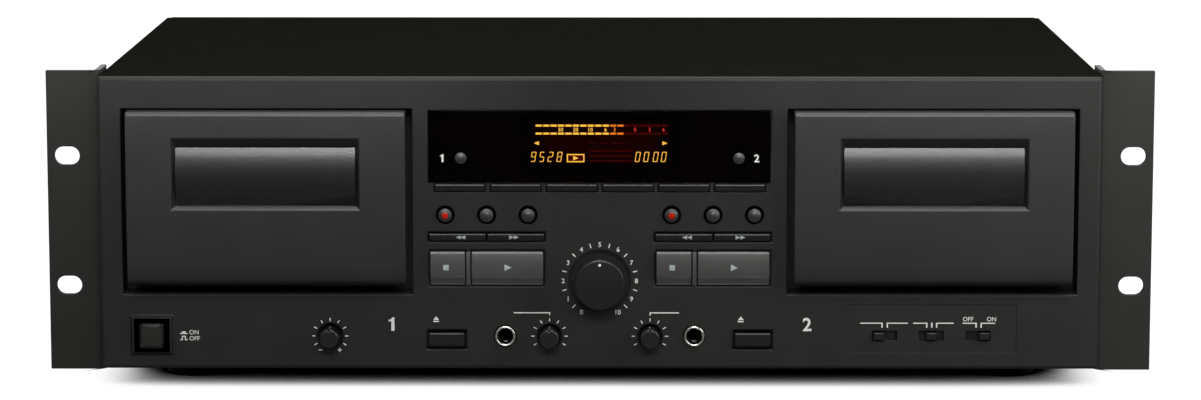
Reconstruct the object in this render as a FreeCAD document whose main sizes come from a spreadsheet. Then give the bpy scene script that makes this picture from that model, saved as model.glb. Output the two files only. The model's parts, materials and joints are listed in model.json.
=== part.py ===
"""Rack-mounted twin cassette duplicator, three rack units high, as separate pieces.

The frame has +Z up and -Y at the front.  Its origin is on the floor, under the middle of
the body.  Every piece is drawn in the panel's own frame first: X from the middle of the
panel, Y back from its face and Z up from its lower edge.  place() then moves it into the
object's frame.
"""
import FreeCAD, Part
import os
import re

import Sketcher
from FreeCAD import Vector

# Driving sizes, in millimetres and degrees.  Each is written once, here.
SIZES = {
    # housing
    "panel_head": 14.1,
    "panel_thick": 3.0,
    "panel_bevel": 1.0,
    "rim_deep": 24.0,
    "rim_thick": 2.0,
    "body_deep": 265.0,
    "foot_high": 12.5,
    "foot_wide": 24.0,
    "foot_inset": 34.0,
    "foot_taper": 2.0,
    "foot_edge": 1.5,
    "sheet_thick": 1.2,
    "cover_thick": 1.0,
    "cover_bend": 1.2,
    "seam": 0.3,
    "slack": 0.1,
    "weld": 0.2,
    "flange_high": 12.0,
    "notch": 2.6,
    # rack ears: width and slot spacing of a 19 inch rack, three units high
    "ear_wide": 23.5,
    "ear_rise": 1.5,
    "ear_drop": 2.0,
    "ear_back": 9.5,
    "ear_thick": 2.5,
    "ear_flange": 22.0,
    "ear_corner": 0.6,
    "slot_inset": 8.75,
    "slot_pitch_high": 57.15,
    "slot_low": 35.4,
    "slot_long": 11.0,
    "slot_high": 8.0,
    # cassette wells, doors and holders
    "well_inset": 9.7,
    "well_gap": 6.9,
    "well_low": 33.1,
    "well_deep": 15.8,
    "well_wall": 1.6,
    "door_gap": 2.8,
    "door_foot": 3.7,
    "door_head": 0.7,
    "door_room": 6.4,
    "door_sill": 9.7,
    "door_proud": 8.0,
    "door_back": 2.0,
    "door_curve": 8.8,
    "door_wall": 2.2,
    "door_edge": 1.2,
    "window_wide": 77.1,
    "window_high": 25.1,
    "window_sill": 26.6,
    "window_deep": 2.4,
    "window_lens": 1.4,
    "window_frame": 3.0,
    "window_side_slope": 2.1,
    "window_top_slope": 4.2,
    "window_foot_slope": 1.7,
    "hinge_pin": 3.0,
    "pin_long": 4.4,
    "hinge_arm": 1.2,
    "hinge_gap": 1.6,
    "hinge_radius": 3.4,
    "cassette_wide": 100.4,
    "cassette_high": 63.8,
    "cassette_thick": 12.0,
    "cassette_head": 1.2,
    "cassette_play": 0.2,
    "holder_wall": 1.2,
    "holder_lip": 4.0,
    "holder_ledge": 9.0,
    "wing_sill": 15.5,
    "wing_high": 45.0,
    # tape transports
    "frame_thick": 1.5,
    "frame_over": 2.0,
    "bridge_back": 36.0,
    "bridge_wide": 110.4,
    "bridge_high": 70.0,
    "standoff": 6.0,
    "hub_pitch": 42.5,
    "hub_height": 34.7,
    "spindle_shaft": 3.0,
    "spindle_hub": 7.0,
    "spindle_table": 18.0,
    "spindle_tip": 0.5,
    "spindle_nose": 2.5,
    "table_thick": 2.4,
    "fin_thick": 1.2,
    "fin_high": 1.6,
    "reflector_wide": 23.5,
    "reflector_high": 13.2,
    "reflector_out": 1.2,
    "shaft_end": 4.0,
    "capstan_shaft": 2.6,
    "capstan_side": 26.5,
    "capstan_height": 6.5,
    "capstan_tip": 1.0,
    "flywheel_wide": 46.0,
    "flywheel_thick": 8.0,
    "flywheel_edge": 1.0,
    "flywheel_web": 4.0,
    "flywheel_hub": 9.0,
    "carriage_wide": 80.0,
    "carriage_high": 12.0,
    "carriage_drop": 12.5,
    "carriage_pin_up": 8.6,
    "carriage_thick": 1.2,
    "carriage_pin": 3.0,
    "carriage_pin_side": 28.8,
    "head_wide": 14.0,
    "head_high": 4.0,
    "head_gap": 1.0,
    "head_tip": 0.9,
    "head_travel": 5.0,
    # display window and the board behind it
    "display_wide": 149.0,
    "display_high": 31.8,
    "display_low": 82.0,
    "display_thick": 2.6,
    "display_proud": 0.4,
    "tube_wide": 66.0,
    "tube_high": 24.0,
    "tube_up": 5.0,
    "tube_thick": 6.0,
    "board_back": 12.0,
    "board_thick": 1.6,
    "board_over": 3.5,
    "board_low": 25.0,
    "board_high": 94.0,
    "low_board": 18.0,
    "post_wide": 5.0,
    "tact_wide": 6.0,
    "tact_deep": 3.5,
    "tact_high": 4.0,
    "housing_deep": 9.0,
    # keys and buttons
    "fit": 0.3,
    "strip_inset": 1.51,
    "strip_gap": 2.48,
    "strip_high": 3.3,
    "strip_drop": 0.45,
    "strip_out": 1.2,
    "reset_inset": 14.2,
    "reset_up": 10.9,
    "reset_wide": 5.0,
    "reset_out": 1.6,
    "group_inset": 25.3,
    "round_pitch": 18.0,
    "round_drop": 10.35,
    "round_wide": 5.9,
    "round_hole": 8.1,
    "round_out": 2.4,
    "wind_wide": 24.8,
    "wind_high": 3.3,
    "wind_drop": 11.3,
    "wind_out": 1.6,
    "wind_gap": 0.6,
    "stop_wide": 15.2,
    "play_wide": 31.2,
    "play_high": 15.0,
    "play_drop": 4.6,
    "play_out": 2.6,
    "play_curve": 4.0,
    "play_divider": 2.2,
    "eject_inset": 7.8,
    "eject_wide": 15.4,
    "eject_high": 6.6,
    "eject_low": 9.6,
    "eject_out": 2.0,
    "eject_curve": 2.2,
    "eject_gap": 0.8,
    "eject_rod": 18.0,
    "key_thick": 1.6,
    "key_edge": 0.4,
    "key_stem": 4.0,
    "collar_thick": 1.0,
    "key_travel": 1.5,
    "strip_travel": 0.8,
    # power switch
    "power_height": 14.8,
    "power_inset": 22.0,
    "power_wide": 10.2,
    "power_high": 10.5,
    "power_out": 3.0,
    "power_travel": 4.0,
    "bezel_wide": 18.2,
    "bezel_high": 16.7,
    "bezel_border": 2.1,
    "bezel_proud": 0.8,
    "bezel_deep": 1.6,
    # rotary controls
    "level_height": 39.0,
    "level_wide": 22.0,
    "level_dish": 27.0,
    "level_dish_deep": 1.0,
    "level_reach": 12.5,
    "level_edge": 1.0,
    "level_dot": 1.4,
    "knob_height": 14.5,
    "knob_wide": 8.4,
    "knob_hole": 10.7,
    "knob_reach": 8.5,
    "knob_shaft": 4.0,
    "knob_notch": 1.0,
    "knob_edge": 0.5,
    "pitch_side": 117.7,
    "gain_side": 21.9,
    "pot_wide": 15.0,
    "pot_deep": 6.0,
    # slide switches
    "switch_pitch": 20.4,
    "switch_height": 14.8,
    "switch_wide": 10.9,
    "switch_high": 4.4,
    "switch_lever": 4.6,
    "switch_lever_high": 3.4,
    "switch_out": 1.8,
    "switch_travel": 2.6,
    "switch_stem": 2.4,
    "switch_post": 16.0,
    "shutter_over": 1.6,
    "switch_plate_wide": 74.3,
    "switch_plate_high": 21.5,
    "switch_plate_deep": 0.3,
    # jacks
    "jack_side": 41.2,
    "jack_height": 14.6,
    "jack_bore": 6.4,
    "jack_ring": 9.6,
    "jack_out": 1.6,
    "jack_edge": 0.6,
    "jack_deep": 31.0,
    "jack_body": 15.0,
    # rear sockets
    "socket_reach": 9.0,
    "socket_pitch": 18.0,
    "socket_inset": 67.5,
    "socket_height": 92.0,
    "socket_bore": 3.2,
    "socket_wide": 8.3,
    "socket_base": 12.0,
    "socket_shoulder": 9.1,
    "socket_back": 6.0,
    "socket_deep": 9.0,
    "inlet_height": 34.0,
    "inlet_inset": 39.5,
    "inlet_wide": 27.0,
    "inlet_high": 19.6,
    "inlet_flange": 3.0,
    "inlet_wall": 2.0,
    "pin_side": 7.0,
    "pin_wide": 2.0,
    "inlet_deep": 18.0,
    # inside
    "main_wide": 250.0,
    "main_gap": 22.8,
    "main_side": 35.0,
    "main_front": 90.0,
    "main_height": 11.0,
    "chip_wide": 18.0,
    "chip_deep": 8.0,
    "chip_high": 4.0,
    "can_wide": 12.0,
    "can_high": 22.0,
    "sink_wide": 60.0,
    "sink_high": 35.0,
    "transformer_side": 150.0,
    "transformer_front": 150.0,
    "transformer_wide": 66.0,
    "transformer_deep": 56.0,
    "transformer_high": 55.0,
    "transformer_core": 34.0,
    "transformer_foot": 10.0,
    "screw_head": 6.4,
    "screw_rise": 2.0,
    "screw_shank": 3.0,
    "screw_hole": 3.4,
    "screw_cross": 3.4,
    "screw_slot": 0.8,
    "ear_screw_back": 4.0,
    "ear_screw_low": 24.0,
    "ear_screw_top": 105.6,
    "cover_screw_front": 119.0,
    "cover_screw_back": 225.0,
    "rear_screw_drop": 9.0,
    "rear_screw_inset": 17.5,
}

# Sizes that follow from the driving ones: a door fits round a cassette, a well round its door,
# the panel round the wells and the display, and the rows of keys hang below the display.
DERIVED = {
    "door_wide": "cassette_wide + 2 * (2 * cassette_play + holder_wall + door_room + door_wall)",
    "door_high": "door_sill + cassette_high + cassette_head + door_wall",
    "well_wide": "door_wide + 2 * door_gap",
    "well_high": "door_foot + door_high + door_head",
    "well_middle": "display_wide / 2 + well_gap + well_wide / 2",
    "panel_wide": "2 * (well_middle + well_wide / 2 + well_inset)",
    "panel_high": "well_low + well_high + panel_head",
    "rack_wide": "panel_wide + 2 * (seam + ear_wide)",
    "ear_high": "ear_drop + panel_high + ear_rise",
    "slot_pitch_wide": "rack_wide - 2 * slot_inset",
    "door_low": "well_low + door_foot",
    "cassette_low": "door_low + door_sill",
    "window_low": "cassette_low + window_sill",
    "wing_low": "cassette_low + wing_sill",
    "carriage_low": "cassette_low - carriage_drop",
    "carriage_pin_height": "carriage_low + carriage_pin_up",
    "tube_low": "display_low + tube_up",
    "board_wide": "display_wide + 2 * board_over",
    "strip_pitch": "(display_wide - 2 * strip_inset) / 6",
    "strip_wide": "strip_pitch - strip_gap",
    "strip_low": "display_low - strip_drop - strip_high",
    "reset_side": "display_wide / 2 - reset_inset",
    "reset_height": "display_low + reset_up",
    "group_side": "display_wide / 2 - group_inset",
    "round_height": "strip_low - round_drop",
    "wind_low": "round_height - wind_drop",
    "play_low": "wind_low - play_drop - play_high",
    "eject_side": "display_wide / 2 - eject_inset",
    "switch_middle": "well_middle",
    "power_side": "panel_wide / 2 - power_inset",
    "inlet_side": "panel_wide / 2 - inlet_inset",
    "socket_side": "panel_wide / 2 - socket_inset",
    "rear_screw_side": "panel_wide / 2 - rear_screw_inset",
    "main_deep": "body_deep - sheet_thick - cover_thick - main_front - main_gap",
}

doc = FreeCAD.newDocument("CassetteDuplicator")
sheet = doc.addObject("Spreadsheet::Sheet", "Sizes")
for row, (name, value) in enumerate(SIZES.items(), 1):
    sheet.set(f"A{row}", name.replace("_", " "))
    sheet.set(f"B{row}", str(value))
    sheet.setAlias(f"B{row}", name)
for row, (name, rule) in enumerate(DERIVED.items(), len(SIZES) + 2):
    sheet.set(f"A{row}", name.replace("_", " "))
    sheet.setAlias(f"B{row}", name)
    sheet.set(f"B{row}", f"={rule}")
doc.recompute()

# Positions that follow from the sizes, as expressions on the sheet.
FACE = "(level_reach - body_deep - socket_reach) / 2"
SIDE = "panel_wide / 2 + seam"
HINGE_BACK = "door_curve - door_proud"
HINGE_HEIGHT = "door_low + door_curve"
LENS_FACE = "window_deep - door_proud"
LENS_BACK = "window_deep + window_lens - door_proud"
HOLDER_FACE = f"{LENS_BACK} + slack"
HOLDER_BACK = f"{HOLDER_FACE} + 2 * holder_wall + cassette_thick + cassette_play"
HUB_HEIGHT = "cassette_low + hub_height"
CAPSTAN_HEIGHT = "cassette_low + capstan_height"
FRAME_FACE = "well_deep + slack"
REAR_WALL = "body_deep - sheet_thick - cover_thick"

nodes = []


def bound(text):
    """Put the sheet's name before every size in an expression."""
    return re.sub(r"[a-z_]+", lambda word: on_sheet(word.group()), str(text))


def on_sheet(word):
    return f"Sizes.{word}" if word in SIZES or word in DERIVED else word


def minus(text):
    return f"-({text})"


# Sketches.  A loop is a list of (across, up) corners or one circle (across, up, diameter).


def rect(x, y, wide, high):
    """Corners of a rectangle from its middle and its two sizes."""
    left, right = f"{x} - ({wide}) / 2", f"{x} + ({wide}) / 2"
    low, top = f"{y} - ({high}) / 2", f"{y} + ({high}) / 2"
    return [(left, low), (right, low), (right, top), (left, top)]


def area(left, right, low, top):
    """Corners of a rectangle from its four sides."""
    return [(left, low), (right, low), (right, top), (left, top)]


def sketch(body, role, offset, loops):
    """Draw loops on an origin plane that is shifted along its own normal."""
    drawing = body.newObject("Sketcher::SketchObject", "Sketch")
    plane = [item for item in body.Origin.OriginFeatures if item.Role == role][0]
    drawing.AttachmentSupport = (plane, [""])
    drawing.MapMode = "FlatFace"
    drawing.setExpression("AttachmentOffset.Base.z", bound(offset))
    lines, rules, sizes = [], [], []
    for loop in loops:
        if isinstance(loop, tuple):
            add_circle(loop, lines, rules, sizes)
        else:
            add_polygon(loop, lines, rules, sizes)
    drawing.addGeometry(lines, False)
    drawing.addConstraint(rules)
    for index, text in sizes:
        drawing.setExpression(f"Constraints[{index}]", bound(text))
    return drawing


def hold(shape, point, corner, rules, sizes):
    """Hold one point of a sketch shape at its two distances from the sketch's origin."""
    for kind, text in zip(("DistanceX", "DistanceY"), corner):
        sizes.append((len(rules), text))
        rules.append(Sketcher.Constraint(kind, -1, 1, shape, point, 1.0))


def add_circle(loop, lines, rules, sizes):
    across, up, diameter = loop
    shape = len(lines)
    lines.append(Part.Circle(Vector(shape, 0, 0), Vector(0, 0, 1), 1))
    hold(shape, 3, (across, up), rules, sizes)
    sizes.append((len(rules), diameter))
    rules.append(Sketcher.Constraint("Diameter", shape, 2.0))


def add_polygon(loop, lines, rules, sizes):
    first, count = len(lines), len(loop)
    for step, corner in enumerate(loop):
        start = Vector(first + step, step % 2, 0)
        end = Vector(first + step + 1, (step + 1) % 2, 0)
        lines.append(Part.LineSegment(start, end))
        follower = first + (step + 1) % count
        rules.append(Sketcher.Constraint("Coincident", first + step, 2, follower, 1))
        hold(first + step, 1, corner, rules, sizes)


# Features.  Front planes lie at a distance y behind the face, floor planes at a height z
# and side planes at a distance x from the middle.


def feature(body, kind, drawing, length=None):
    item = body.newObject(f"PartDesign::{kind}", kind)
    item.Profile = drawing
    if length is not None:
        item.setExpression("Length", bound(length))
    drawing.Visibility = False
    return item


def pad_back(body, y, loops, length):
    """Raise loops from the front plane at y towards the rear."""
    item = feature(body, "Pad", sketch(body, "XZ_Plane", minus(y), loops), length)
    item.Reversed = True
    return item


def cut_back(body, y, loops, length):
    """Cut loops from the front plane at y towards the rear."""
    return feature(body, "Pocket", sketch(body, "XZ_Plane", minus(y), loops), length)


def pad_up(body, z, loops, length):
    return feature(body, "Pad", sketch(body, "XY_Plane", z, loops), length)


def pad_across(body, loops, length, x="0"):
    """Raise a side profile equally to both sides of the plane at x."""
    item = feature(body, "Pad", sketch(body, "YZ_Plane", x, loops), length)
    item.Midplane = True
    return item


def cut_across(body, loops, length, x="0"):
    item = feature(body, "Pocket", sketch(body, "YZ_Plane", x, loops), length)
    item.Midplane = True
    return item


def turn(body, profile, kind="Revolution"):
    """Turn a side profile of (y, radius) corners about the front-to-back axis."""
    drawing = sketch(body, "YZ_Plane", "0", [profile])
    item = feature(body, kind, drawing)
    item.ReferenceAxis = (drawing, ["H_Axis"])
    item.Angle = 360
    return item


def turn_upright(body, profile):
    """Turn a profile of (radius, z) corners about the upright axis."""
    drawing = sketch(body, "XZ_Plane", "0", [profile])
    item = feature(body, "Revolution", drawing)
    item.ReferenceAxis = (drawing, ["V_Axis"])
    item.Angle = 360
    return item


SIDES = {
    "left": ("XMin", "XMax"),
    "right": ("XMax", "XMin"),
    "front": ("YMin", "YMax"),
    "back": ("YMax", "YMin"),
    "bottom": ("ZMin", "ZMax"),
    "top": ("ZMax", "ZMin"),
}


def edges_on(shape, sides):
    """Names of the edges that lie wholly in each of the named sides of a shape."""
    found = []
    for number, edge in enumerate(shape.Edges, 1):
        ends = [(getattr(shape.BoundBox, SIDES[side][0]), edge.BoundBox, SIDES[side][1])
                for side in sides.split()]
        if all(abs(getattr(box, far) - wall) < 0.01 for wall, box, far in ends):
            found.append(f"Edge{number}")
    return found


def ease(body, kind, sides, size):
    """Round or bevel the edges of a body that lie in the named sides."""
    doc.recompute()
    base = body.Tip
    item = body.newObject(f"PartDesign::{kind}", kind)
    item.Base = (base, edges_on(base.Shape, sides))
    item.setExpression("Radius" if kind == "Fillet" else "Size", bound(size))
    return item


def place(item, x="0", y="0", z="0"):
    """Move a piece from the panel's frame into the object's frame."""
    item.setExpression("Placement.Base.x", bound(x))
    item.setExpression("Placement.Base.y", bound(f"{FACE} + {y}"))
    item.setExpression("Placement.Base.z", bound(f"foot_high + {z}"))
    return item


def body_for(label):
    return doc.addObject("PartDesign::Body", label)


def node(item, label):
    """Keep a finished piece as a sub-part under its label."""
    item.Label = label
    nodes.append(item)
    return item


def group(label, pieces):
    """Join identical pieces into one sub-part, each still a solid of its own."""
    item = doc.addObject("Part::Compound", label)
    item.Links = pieces
    return node(item, label)


def sides():
    """The left deck's number and sign, then the right deck's."""
    return ((1, "-"), (2, ""))


# Housing


def front_panel():
    body = body_for("Panel")
    outline = rect("0", "panel_high / 2", "panel_wide", "panel_high")
    pad_back(body, "0", [outline], "panel_thick")
    ease(body, "Chamfer", "front", "panel_bevel")
    inner = rect("0", "panel_high / 2", "panel_wide - 2 * rim_thick",
                 "panel_high - 2 * rim_thick")
    pad_back(body, "panel_thick", [outline, inner], "rim_deep - panel_thick")
    wells = [rect(f"{sign}well_middle", "well_low + well_high / 2", "well_wide", "well_high")
             for _, sign in sides()]
    outer = [rect(f"{sign}well_middle", "well_low + well_high / 2",
                  "well_wide + 2 * well_wall", "well_high + 2 * well_wall")
             for _, sign in sides()]
    pad_back(body, "panel_thick", outer, "well_deep - panel_thick")
    cut_back(body, "0", wells, "well_deep")
    raise_bezel(body)
    cut_display_openings(body)
    cut_key_openings(body)
    cut_control_openings(body)
    pad_back(body, "panel_thick", board_posts(), "board_back - panel_thick")
    node(place(body), "front_panel")


def raise_bezel(body):
    """Raised frame around the power button, with a sunken floor that the button passes."""
    middle = ("-power_side", "power_height")
    feature(body, "Pad", sketch(body, "XZ_Plane", "0", [rect(*middle, "bezel_wide", "bezel_high")]),
            "bezel_proud")
    inside = rect(*middle, "bezel_wide - 2 * bezel_border", "bezel_high - 1.5 * bezel_border")
    cut_back(body, "-bezel_proud", [inside], "bezel_proud + bezel_deep")
    opening = rect(*middle, "power_wide + 2 * fit", "power_high + 2 * fit")
    cut_back(body, "0", [opening], "panel_thick")


def cut_display_openings(body):
    window = rect("0", "display_low + display_high / 2", "display_wide", "display_high")
    cut_back(body, "0", [window], "panel_thick")
    strip = [rect(f"strip_pitch * {column}", "strip_low + strip_high / 2",
                  "strip_wide + 2 * fit", "strip_high + 2 * fit")
             for column in STRIP_COLUMNS]
    cut_back(body, "0", strip, "panel_thick")


def cut_key_openings(body):
    """Openings of the two groups of transport keys and of the eject keys."""
    for deck, sign in sides():
        middle = f"{sign}group_side"
        buttons = [(f"{middle} + round_pitch * {column}", "round_height", "round_hole")
                   for column in (-1, 0, 1)]
        wind = rect(middle, "wind_low + wind_high / 2",
                    "2 * wind_wide + wind_gap + 2 * fit", "wind_high + 2 * fit")
        stop = rect(stop_middle(sign), "play_low + play_high / 2",
                    "stop_wide + 2 * fit", "play_high + 2 * fit")
        play = rect(play_middle(sign), "play_low + play_high / 2",
                    "play_wide + 2 * fit", "play_high + 2 * fit")
        eject = rect(f"{sign}eject_side", "eject_low + eject_high / 2",
                     "eject_wide + 2 * eject_gap", "eject_high + 2 * eject_gap")
        cut_back(body, "0", buttons + [wind, stop, play, eject], "panel_thick")


def stop_middle(sign):
    """Middle of a stop key: the group is centred with its divider between the two keys."""
    return f"{sign}group_side - (play_wide + play_divider) / 2 - fit"


def play_middle(sign):
    return f"{sign}group_side + (stop_wide + play_divider) / 2 + fit"


def cut_control_openings(body):
    """Openings of the knobs, slide switches and jacks."""
    cut_back(body, "0", [("0", "level_height", "level_dish")], "level_dish_deep")
    cut_back(body, "0", [("0", "level_height", "knob_shaft + 4 * fit")], "panel_thick")
    knobs = [(side, "knob_height", "knob_hole") for side in KNOB_SIDES.values()]
    jacks = [(f"{sign}jack_side", "jack_height", "jack_ring + 0.2") for _, sign in sides()]
    cut_back(body, "0", knobs + jacks, "panel_thick")
    plate = rect("switch_middle", "switch_height + 3", "switch_plate_wide", "switch_plate_high")
    cut_back(body, "0", [plate], "switch_plate_deep")
    slots = [rect(f"switch_middle + switch_pitch * {column}", "switch_height",
                  "switch_wide", "switch_high") for column in (-1, 0, 1)]
    cut_back(body, "0", slots, "panel_thick")


def board_posts():
    """Posts behind the panel that carry the control boards."""
    corners = [(f"{sign}(board_wide / 2 - post_wide)", f"board_low + {up}")
               for sign in ("-", "") for up in ("post_wide", "board_high - post_wide / 2")]
    left = [(f"{side} + low_board * 0.75", "knob_height")
            for side in ("-power_side", "-pitch_side")]
    right = [(f"switch_middle {sign} (switch_pitch + switch_post)", "switch_height") for sign in "-+"]
    tab = [(f"{sign}gain_side / 2", "knob_height") for _, sign in sides()]
    return [(x, z, "post_wide") for x, z in corners + left + right + tab]


def top_cover():
    """Sheet folded over the top and both sides, with a small relief at each rear corner."""
    body = body_for("Cover")
    low = "sheet_thick + seam"
    outer = [(minus(SIDE), low), (minus(SIDE), "panel_high"), (SIDE, "panel_high"), (SIDE, low)]
    inset = f"{SIDE} - cover_thick"
    inner = [(inset, low), (inset, "panel_high - cover_thick"),
             (minus(inset), "panel_high - cover_thick"), (minus(inset), low)]
    pad_back(body, "rim_deep + seam", [outer + inner], "body_deep - rim_deep - seam")
    ease(body, "Fillet", "left top", "cover_bend")
    ease(body, "Fillet", "right top", "cover_bend")
    for sign in ("-", ""):
        corner = rect(f"{sign}({SIDE})", "panel_high", "2 * notch", "2 * notch")
        cut_back(body, "body_deep - notch", [corner], "notch")
        for back in COVER_SCREWS:
            hole = [(back, "panel_high / 2", "screw_hole")]
            cut_across(body, hole, "4 * cover_thick", f"{sign}({SIDE})")
        for up in EAR_SCREWS:
            hole = [(EAR_SCREW_BACK, up, "screw_hole")]
            cut_across(body, hole, "4 * cover_thick", f"{sign}({SIDE})")
    node(place(body), "top_cover")


def chassis():
    """Floor, low side flanges and rear wall folded from one sheet."""
    body = body_for("Chassis")
    side = f"{SIDE} - cover_thick - slack"
    front, back = "rim_deep + seam", f"{REAR_WALL}"
    floor = area(minus(side), side, front, f"{back} + sheet_thick")
    pad_up(body, "0", [floor], "sheet_thick")
    wall = area(minus(side), side, back, f"{back} + sheet_thick")
    pad_up(body, "0", [wall], "panel_high - cover_thick - slack")
    for sign in ("-", ""):
        flange = rect(f"{sign}({side} - sheet_thick / 2)", f"({front} + {back}) / 2",
                      "sheet_thick", f"{back} - ({front})")
        pad_up(body, "0", [flange], "flange_high")
    posts = [(x, y, "standoff") for x, y in main_board_corners()]
    pad_up(body, "sheet_thick", posts, "main_height - sheet_thick")
    holes = [(x, z, "socket_shoulder + 2 * fit") for x, z in socket_places()]
    inlet = rect("-inlet_side", "inlet_height", "inlet_wide + 2 * fit", "inlet_high + 2 * fit")
    cut_back(body, back, holes + [inlet], "sheet_thick")
    screws = [(x, z, "screw_hole") for x, z in REAR_SCREWS]
    cut_back(body, back, screws, "sheet_thick")
    node(place(body), "chassis")


def rack_ears():
    """Two folded brackets: a slotted ear in front and a flange along the body's side."""
    ears = []
    for sign in (-1, 1):
        body = body_for("Ear")
        inside, outside = f"{sign} * ({SIDE})", f"{sign} * rack_wide / 2"
        fold = f"{sign} * ({SIDE} + ear_thick)"
        plate = [(inside, "0"), (outside, "0"), (outside, "ear_thick"), (fold, "ear_thick"),
                 (fold, "ear_thick + ear_flange"), (inside, "ear_thick + ear_flange")]
        pad_up(body, "-ear_drop", [plate], "ear_high")
        ease(body, "Fillet", "left front" if sign < 0 else "right front", "ear_corner")
        round_ear(body, sign)
        for up in ("slot_low", "slot_low + slot_pitch_high"):
            cut_slot(body, f"{sign} * slot_pitch_wide / 2", up)
        for up in EAR_SCREWS:
            hole = [(f"{EAR_SCREW_BACK} - ear_back", up, "screw_hole")]
            cut_across(body, hole, "4 * ear_thick", inside)
        ears.append(place(body, y="ear_back"))
    group("rack_ears", ears)


def round_ear(body, sign):
    """Bend radius along the fold, on the ear's inner front edge."""
    ease(body, "Fillet", "right front" if sign < 0 else "left front", "ear_thick / 2")


def cut_slot(body, x, z):
    """Slot with round ends for a rack bolt."""
    straight = "slot_long - slot_high"
    cut_back(body, "0", [rect(x, z, straight, "slot_high")], "ear_thick")
    for sign in ("-", "+"):
        cut_back(body, "0", [(f"{x} {sign} ({straight}) / 2", z, "slot_high")], "ear_thick")


def feet():
    pieces = []
    for sign in ("-", ""):
        for back in ("rim_deep + foot_inset", "body_deep - foot_inset"):
            body = body_for("Foot")
            turn_upright(body, [("0", "-foot_high"), ("foot_wide / 2 - foot_taper", "-foot_high"),
                                ("foot_wide / 2", "foot_edge - foot_high"), ("foot_wide / 2", "0"),
                                ("0", "0")])
            pieces.append(place(body, f"{sign}(panel_wide / 2 - foot_inset)", back))
    group("feet", pieces)


def screw(x, y, z, turned):
    """Pan-head screw with a short shank, its head pointing to -Y until it is turned."""
    body = body_for("Screw")
    turn(body, [("-screw_rise", "0"), ("-screw_rise", "screw_head / 2 - screw_rise / 2"),
                ("-screw_rise / 3", "screw_head / 2"), ("0", "screw_head / 2"),
                ("0", "screw_shank / 2"), ("sheet_thick", "screw_shank / 2"),
                ("sheet_thick", "0")])
    for wide, high in (("screw_cross", "screw_slot"), ("screw_slot", "screw_cross")):
        cut_back(body, "-screw_rise", [rect("0", "0", wide, high)], "screw_slot")
    place(body, x, y, z)
    body.Placement.Rotation = FreeCAD.Rotation(Vector(0, 0, 1), turned)
    return body


def screws():
    pieces = []
    for sign, turned in (("-", -90), ("", 90)):
        for up in EAR_SCREWS:
            pieces.append(screw(f"{sign}({SIDE} + ear_thick)", EAR_SCREW_BACK, up, turned))
        for back in COVER_SCREWS:
            pieces.append(screw(f"{sign}({SIDE})", back, "panel_high / 2", turned))
    for x, z in REAR_SCREWS:
        pieces.append(screw(x, f"{REAR_WALL} + sheet_thick", z, 180))
    group("screws", pieces)


# Places of the fasteners: distances behind the face, and heights over the lower edge.
EAR_SCREWS = ("ear_screw_low", "ear_screw_top")
EAR_SCREW_BACK = "rim_deep + seam + ear_screw_back"
COVER_SCREWS = ("cover_screw_front", "cover_screw_back")
REAR_SCREWS = [(side, "panel_high - rear_screw_drop")
               for side in ("-rear_screw_side", "0", "rear_screw_side")]
STRIP_COLUMNS = (-2.5, -1.5, -0.5, 0.5, 1.5, 2.5)
KNOB_SIDES = {"pitch": "-pitch_side", "mic": "-gain_side", "phones": "gain_side"}


# Doors and cassette holders


def door(deck, sign):
    """Moulded cover of a well: its lower edge curves about the hinge, its back is open."""
    body = body_for("Door")
    top = "door_low + door_high"
    side = area("-door_proud", "door_back", "door_low", top)
    pad_across(body, [side], "door_wide")
    ease(body, "Fillet", "front bottom", "door_curve")
    ease(body, "Chamfer", "front top", "door_edge")
    hollow_door(body, f"{top} - door_wall")
    boss = rect("0", "window_low + window_high / 2", "window_wide + 2 * window_frame",
                "window_high + 2 * window_frame")
    pad_back(body, "door_wall - door_proud - weld", [boss],
             "window_deep + window_lens - door_wall + weld")
    cut_window(body)
    for turned in ("-", ""):
        middle = f"{turned}(door_wide / 2 - door_wall - pin_long / 2 + weld)"
        pin = [(HINGE_BACK, HINGE_HEIGHT, "hinge_pin")]
        pad_across(body, pin, "pin_long", middle)
    node(place(body, f"{sign}well_middle"), f"door_{deck}")


def hollow_door(body, top):
    """Open the door's back, with a round corner about the hinge so the wall keeps its width."""
    inside = "door_wide - 2 * door_wall"
    above = area("door_wall - door_proud", "door_back", HINGE_HEIGHT, top)
    below = area(HINGE_BACK, "door_back", "door_low + door_wall", HINGE_HEIGHT)
    corner = (HINGE_BACK, HINGE_HEIGHT, "2 * (door_curve - door_wall)")
    for loop in (above, corner, below):
        cut_across(body, [loop], inside)


def cut_window(body):
    """Pocket with sloping walls around the lens, and the lens opening in its floor."""
    high = "window_high + window_top_slope + window_foot_slope"
    middle = "window_low + (window_high + window_top_slope - window_foot_slope) / 2"
    lens_middle = "window_low + window_high / 2"
    face = rect("0", middle, "window_wide + 2 * window_side_slope", high)
    floor = rect("0", lens_middle, "window_wide", "window_high")
    item = feature(body, "SubtractiveLoft", sketch(body, "XZ_Plane", "door_proud", [face]))
    item.Sections = [sketch(body, "XZ_Plane", minus(LENS_FACE), [floor])]
    item.Ruled = True
    cut_back(body, LENS_FACE, [floor], "window_lens")


def door_window(deck, sign):
    body = body_for("Lens")
    lens = rect("0", "window_low + window_high / 2", "window_wide - 2 * slack", "window_high - 2 * slack")
    pad_back(body, LENS_FACE, [lens], "window_lens")
    node(place(body, f"{sign}well_middle"), f"door_window_{deck}")


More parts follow.
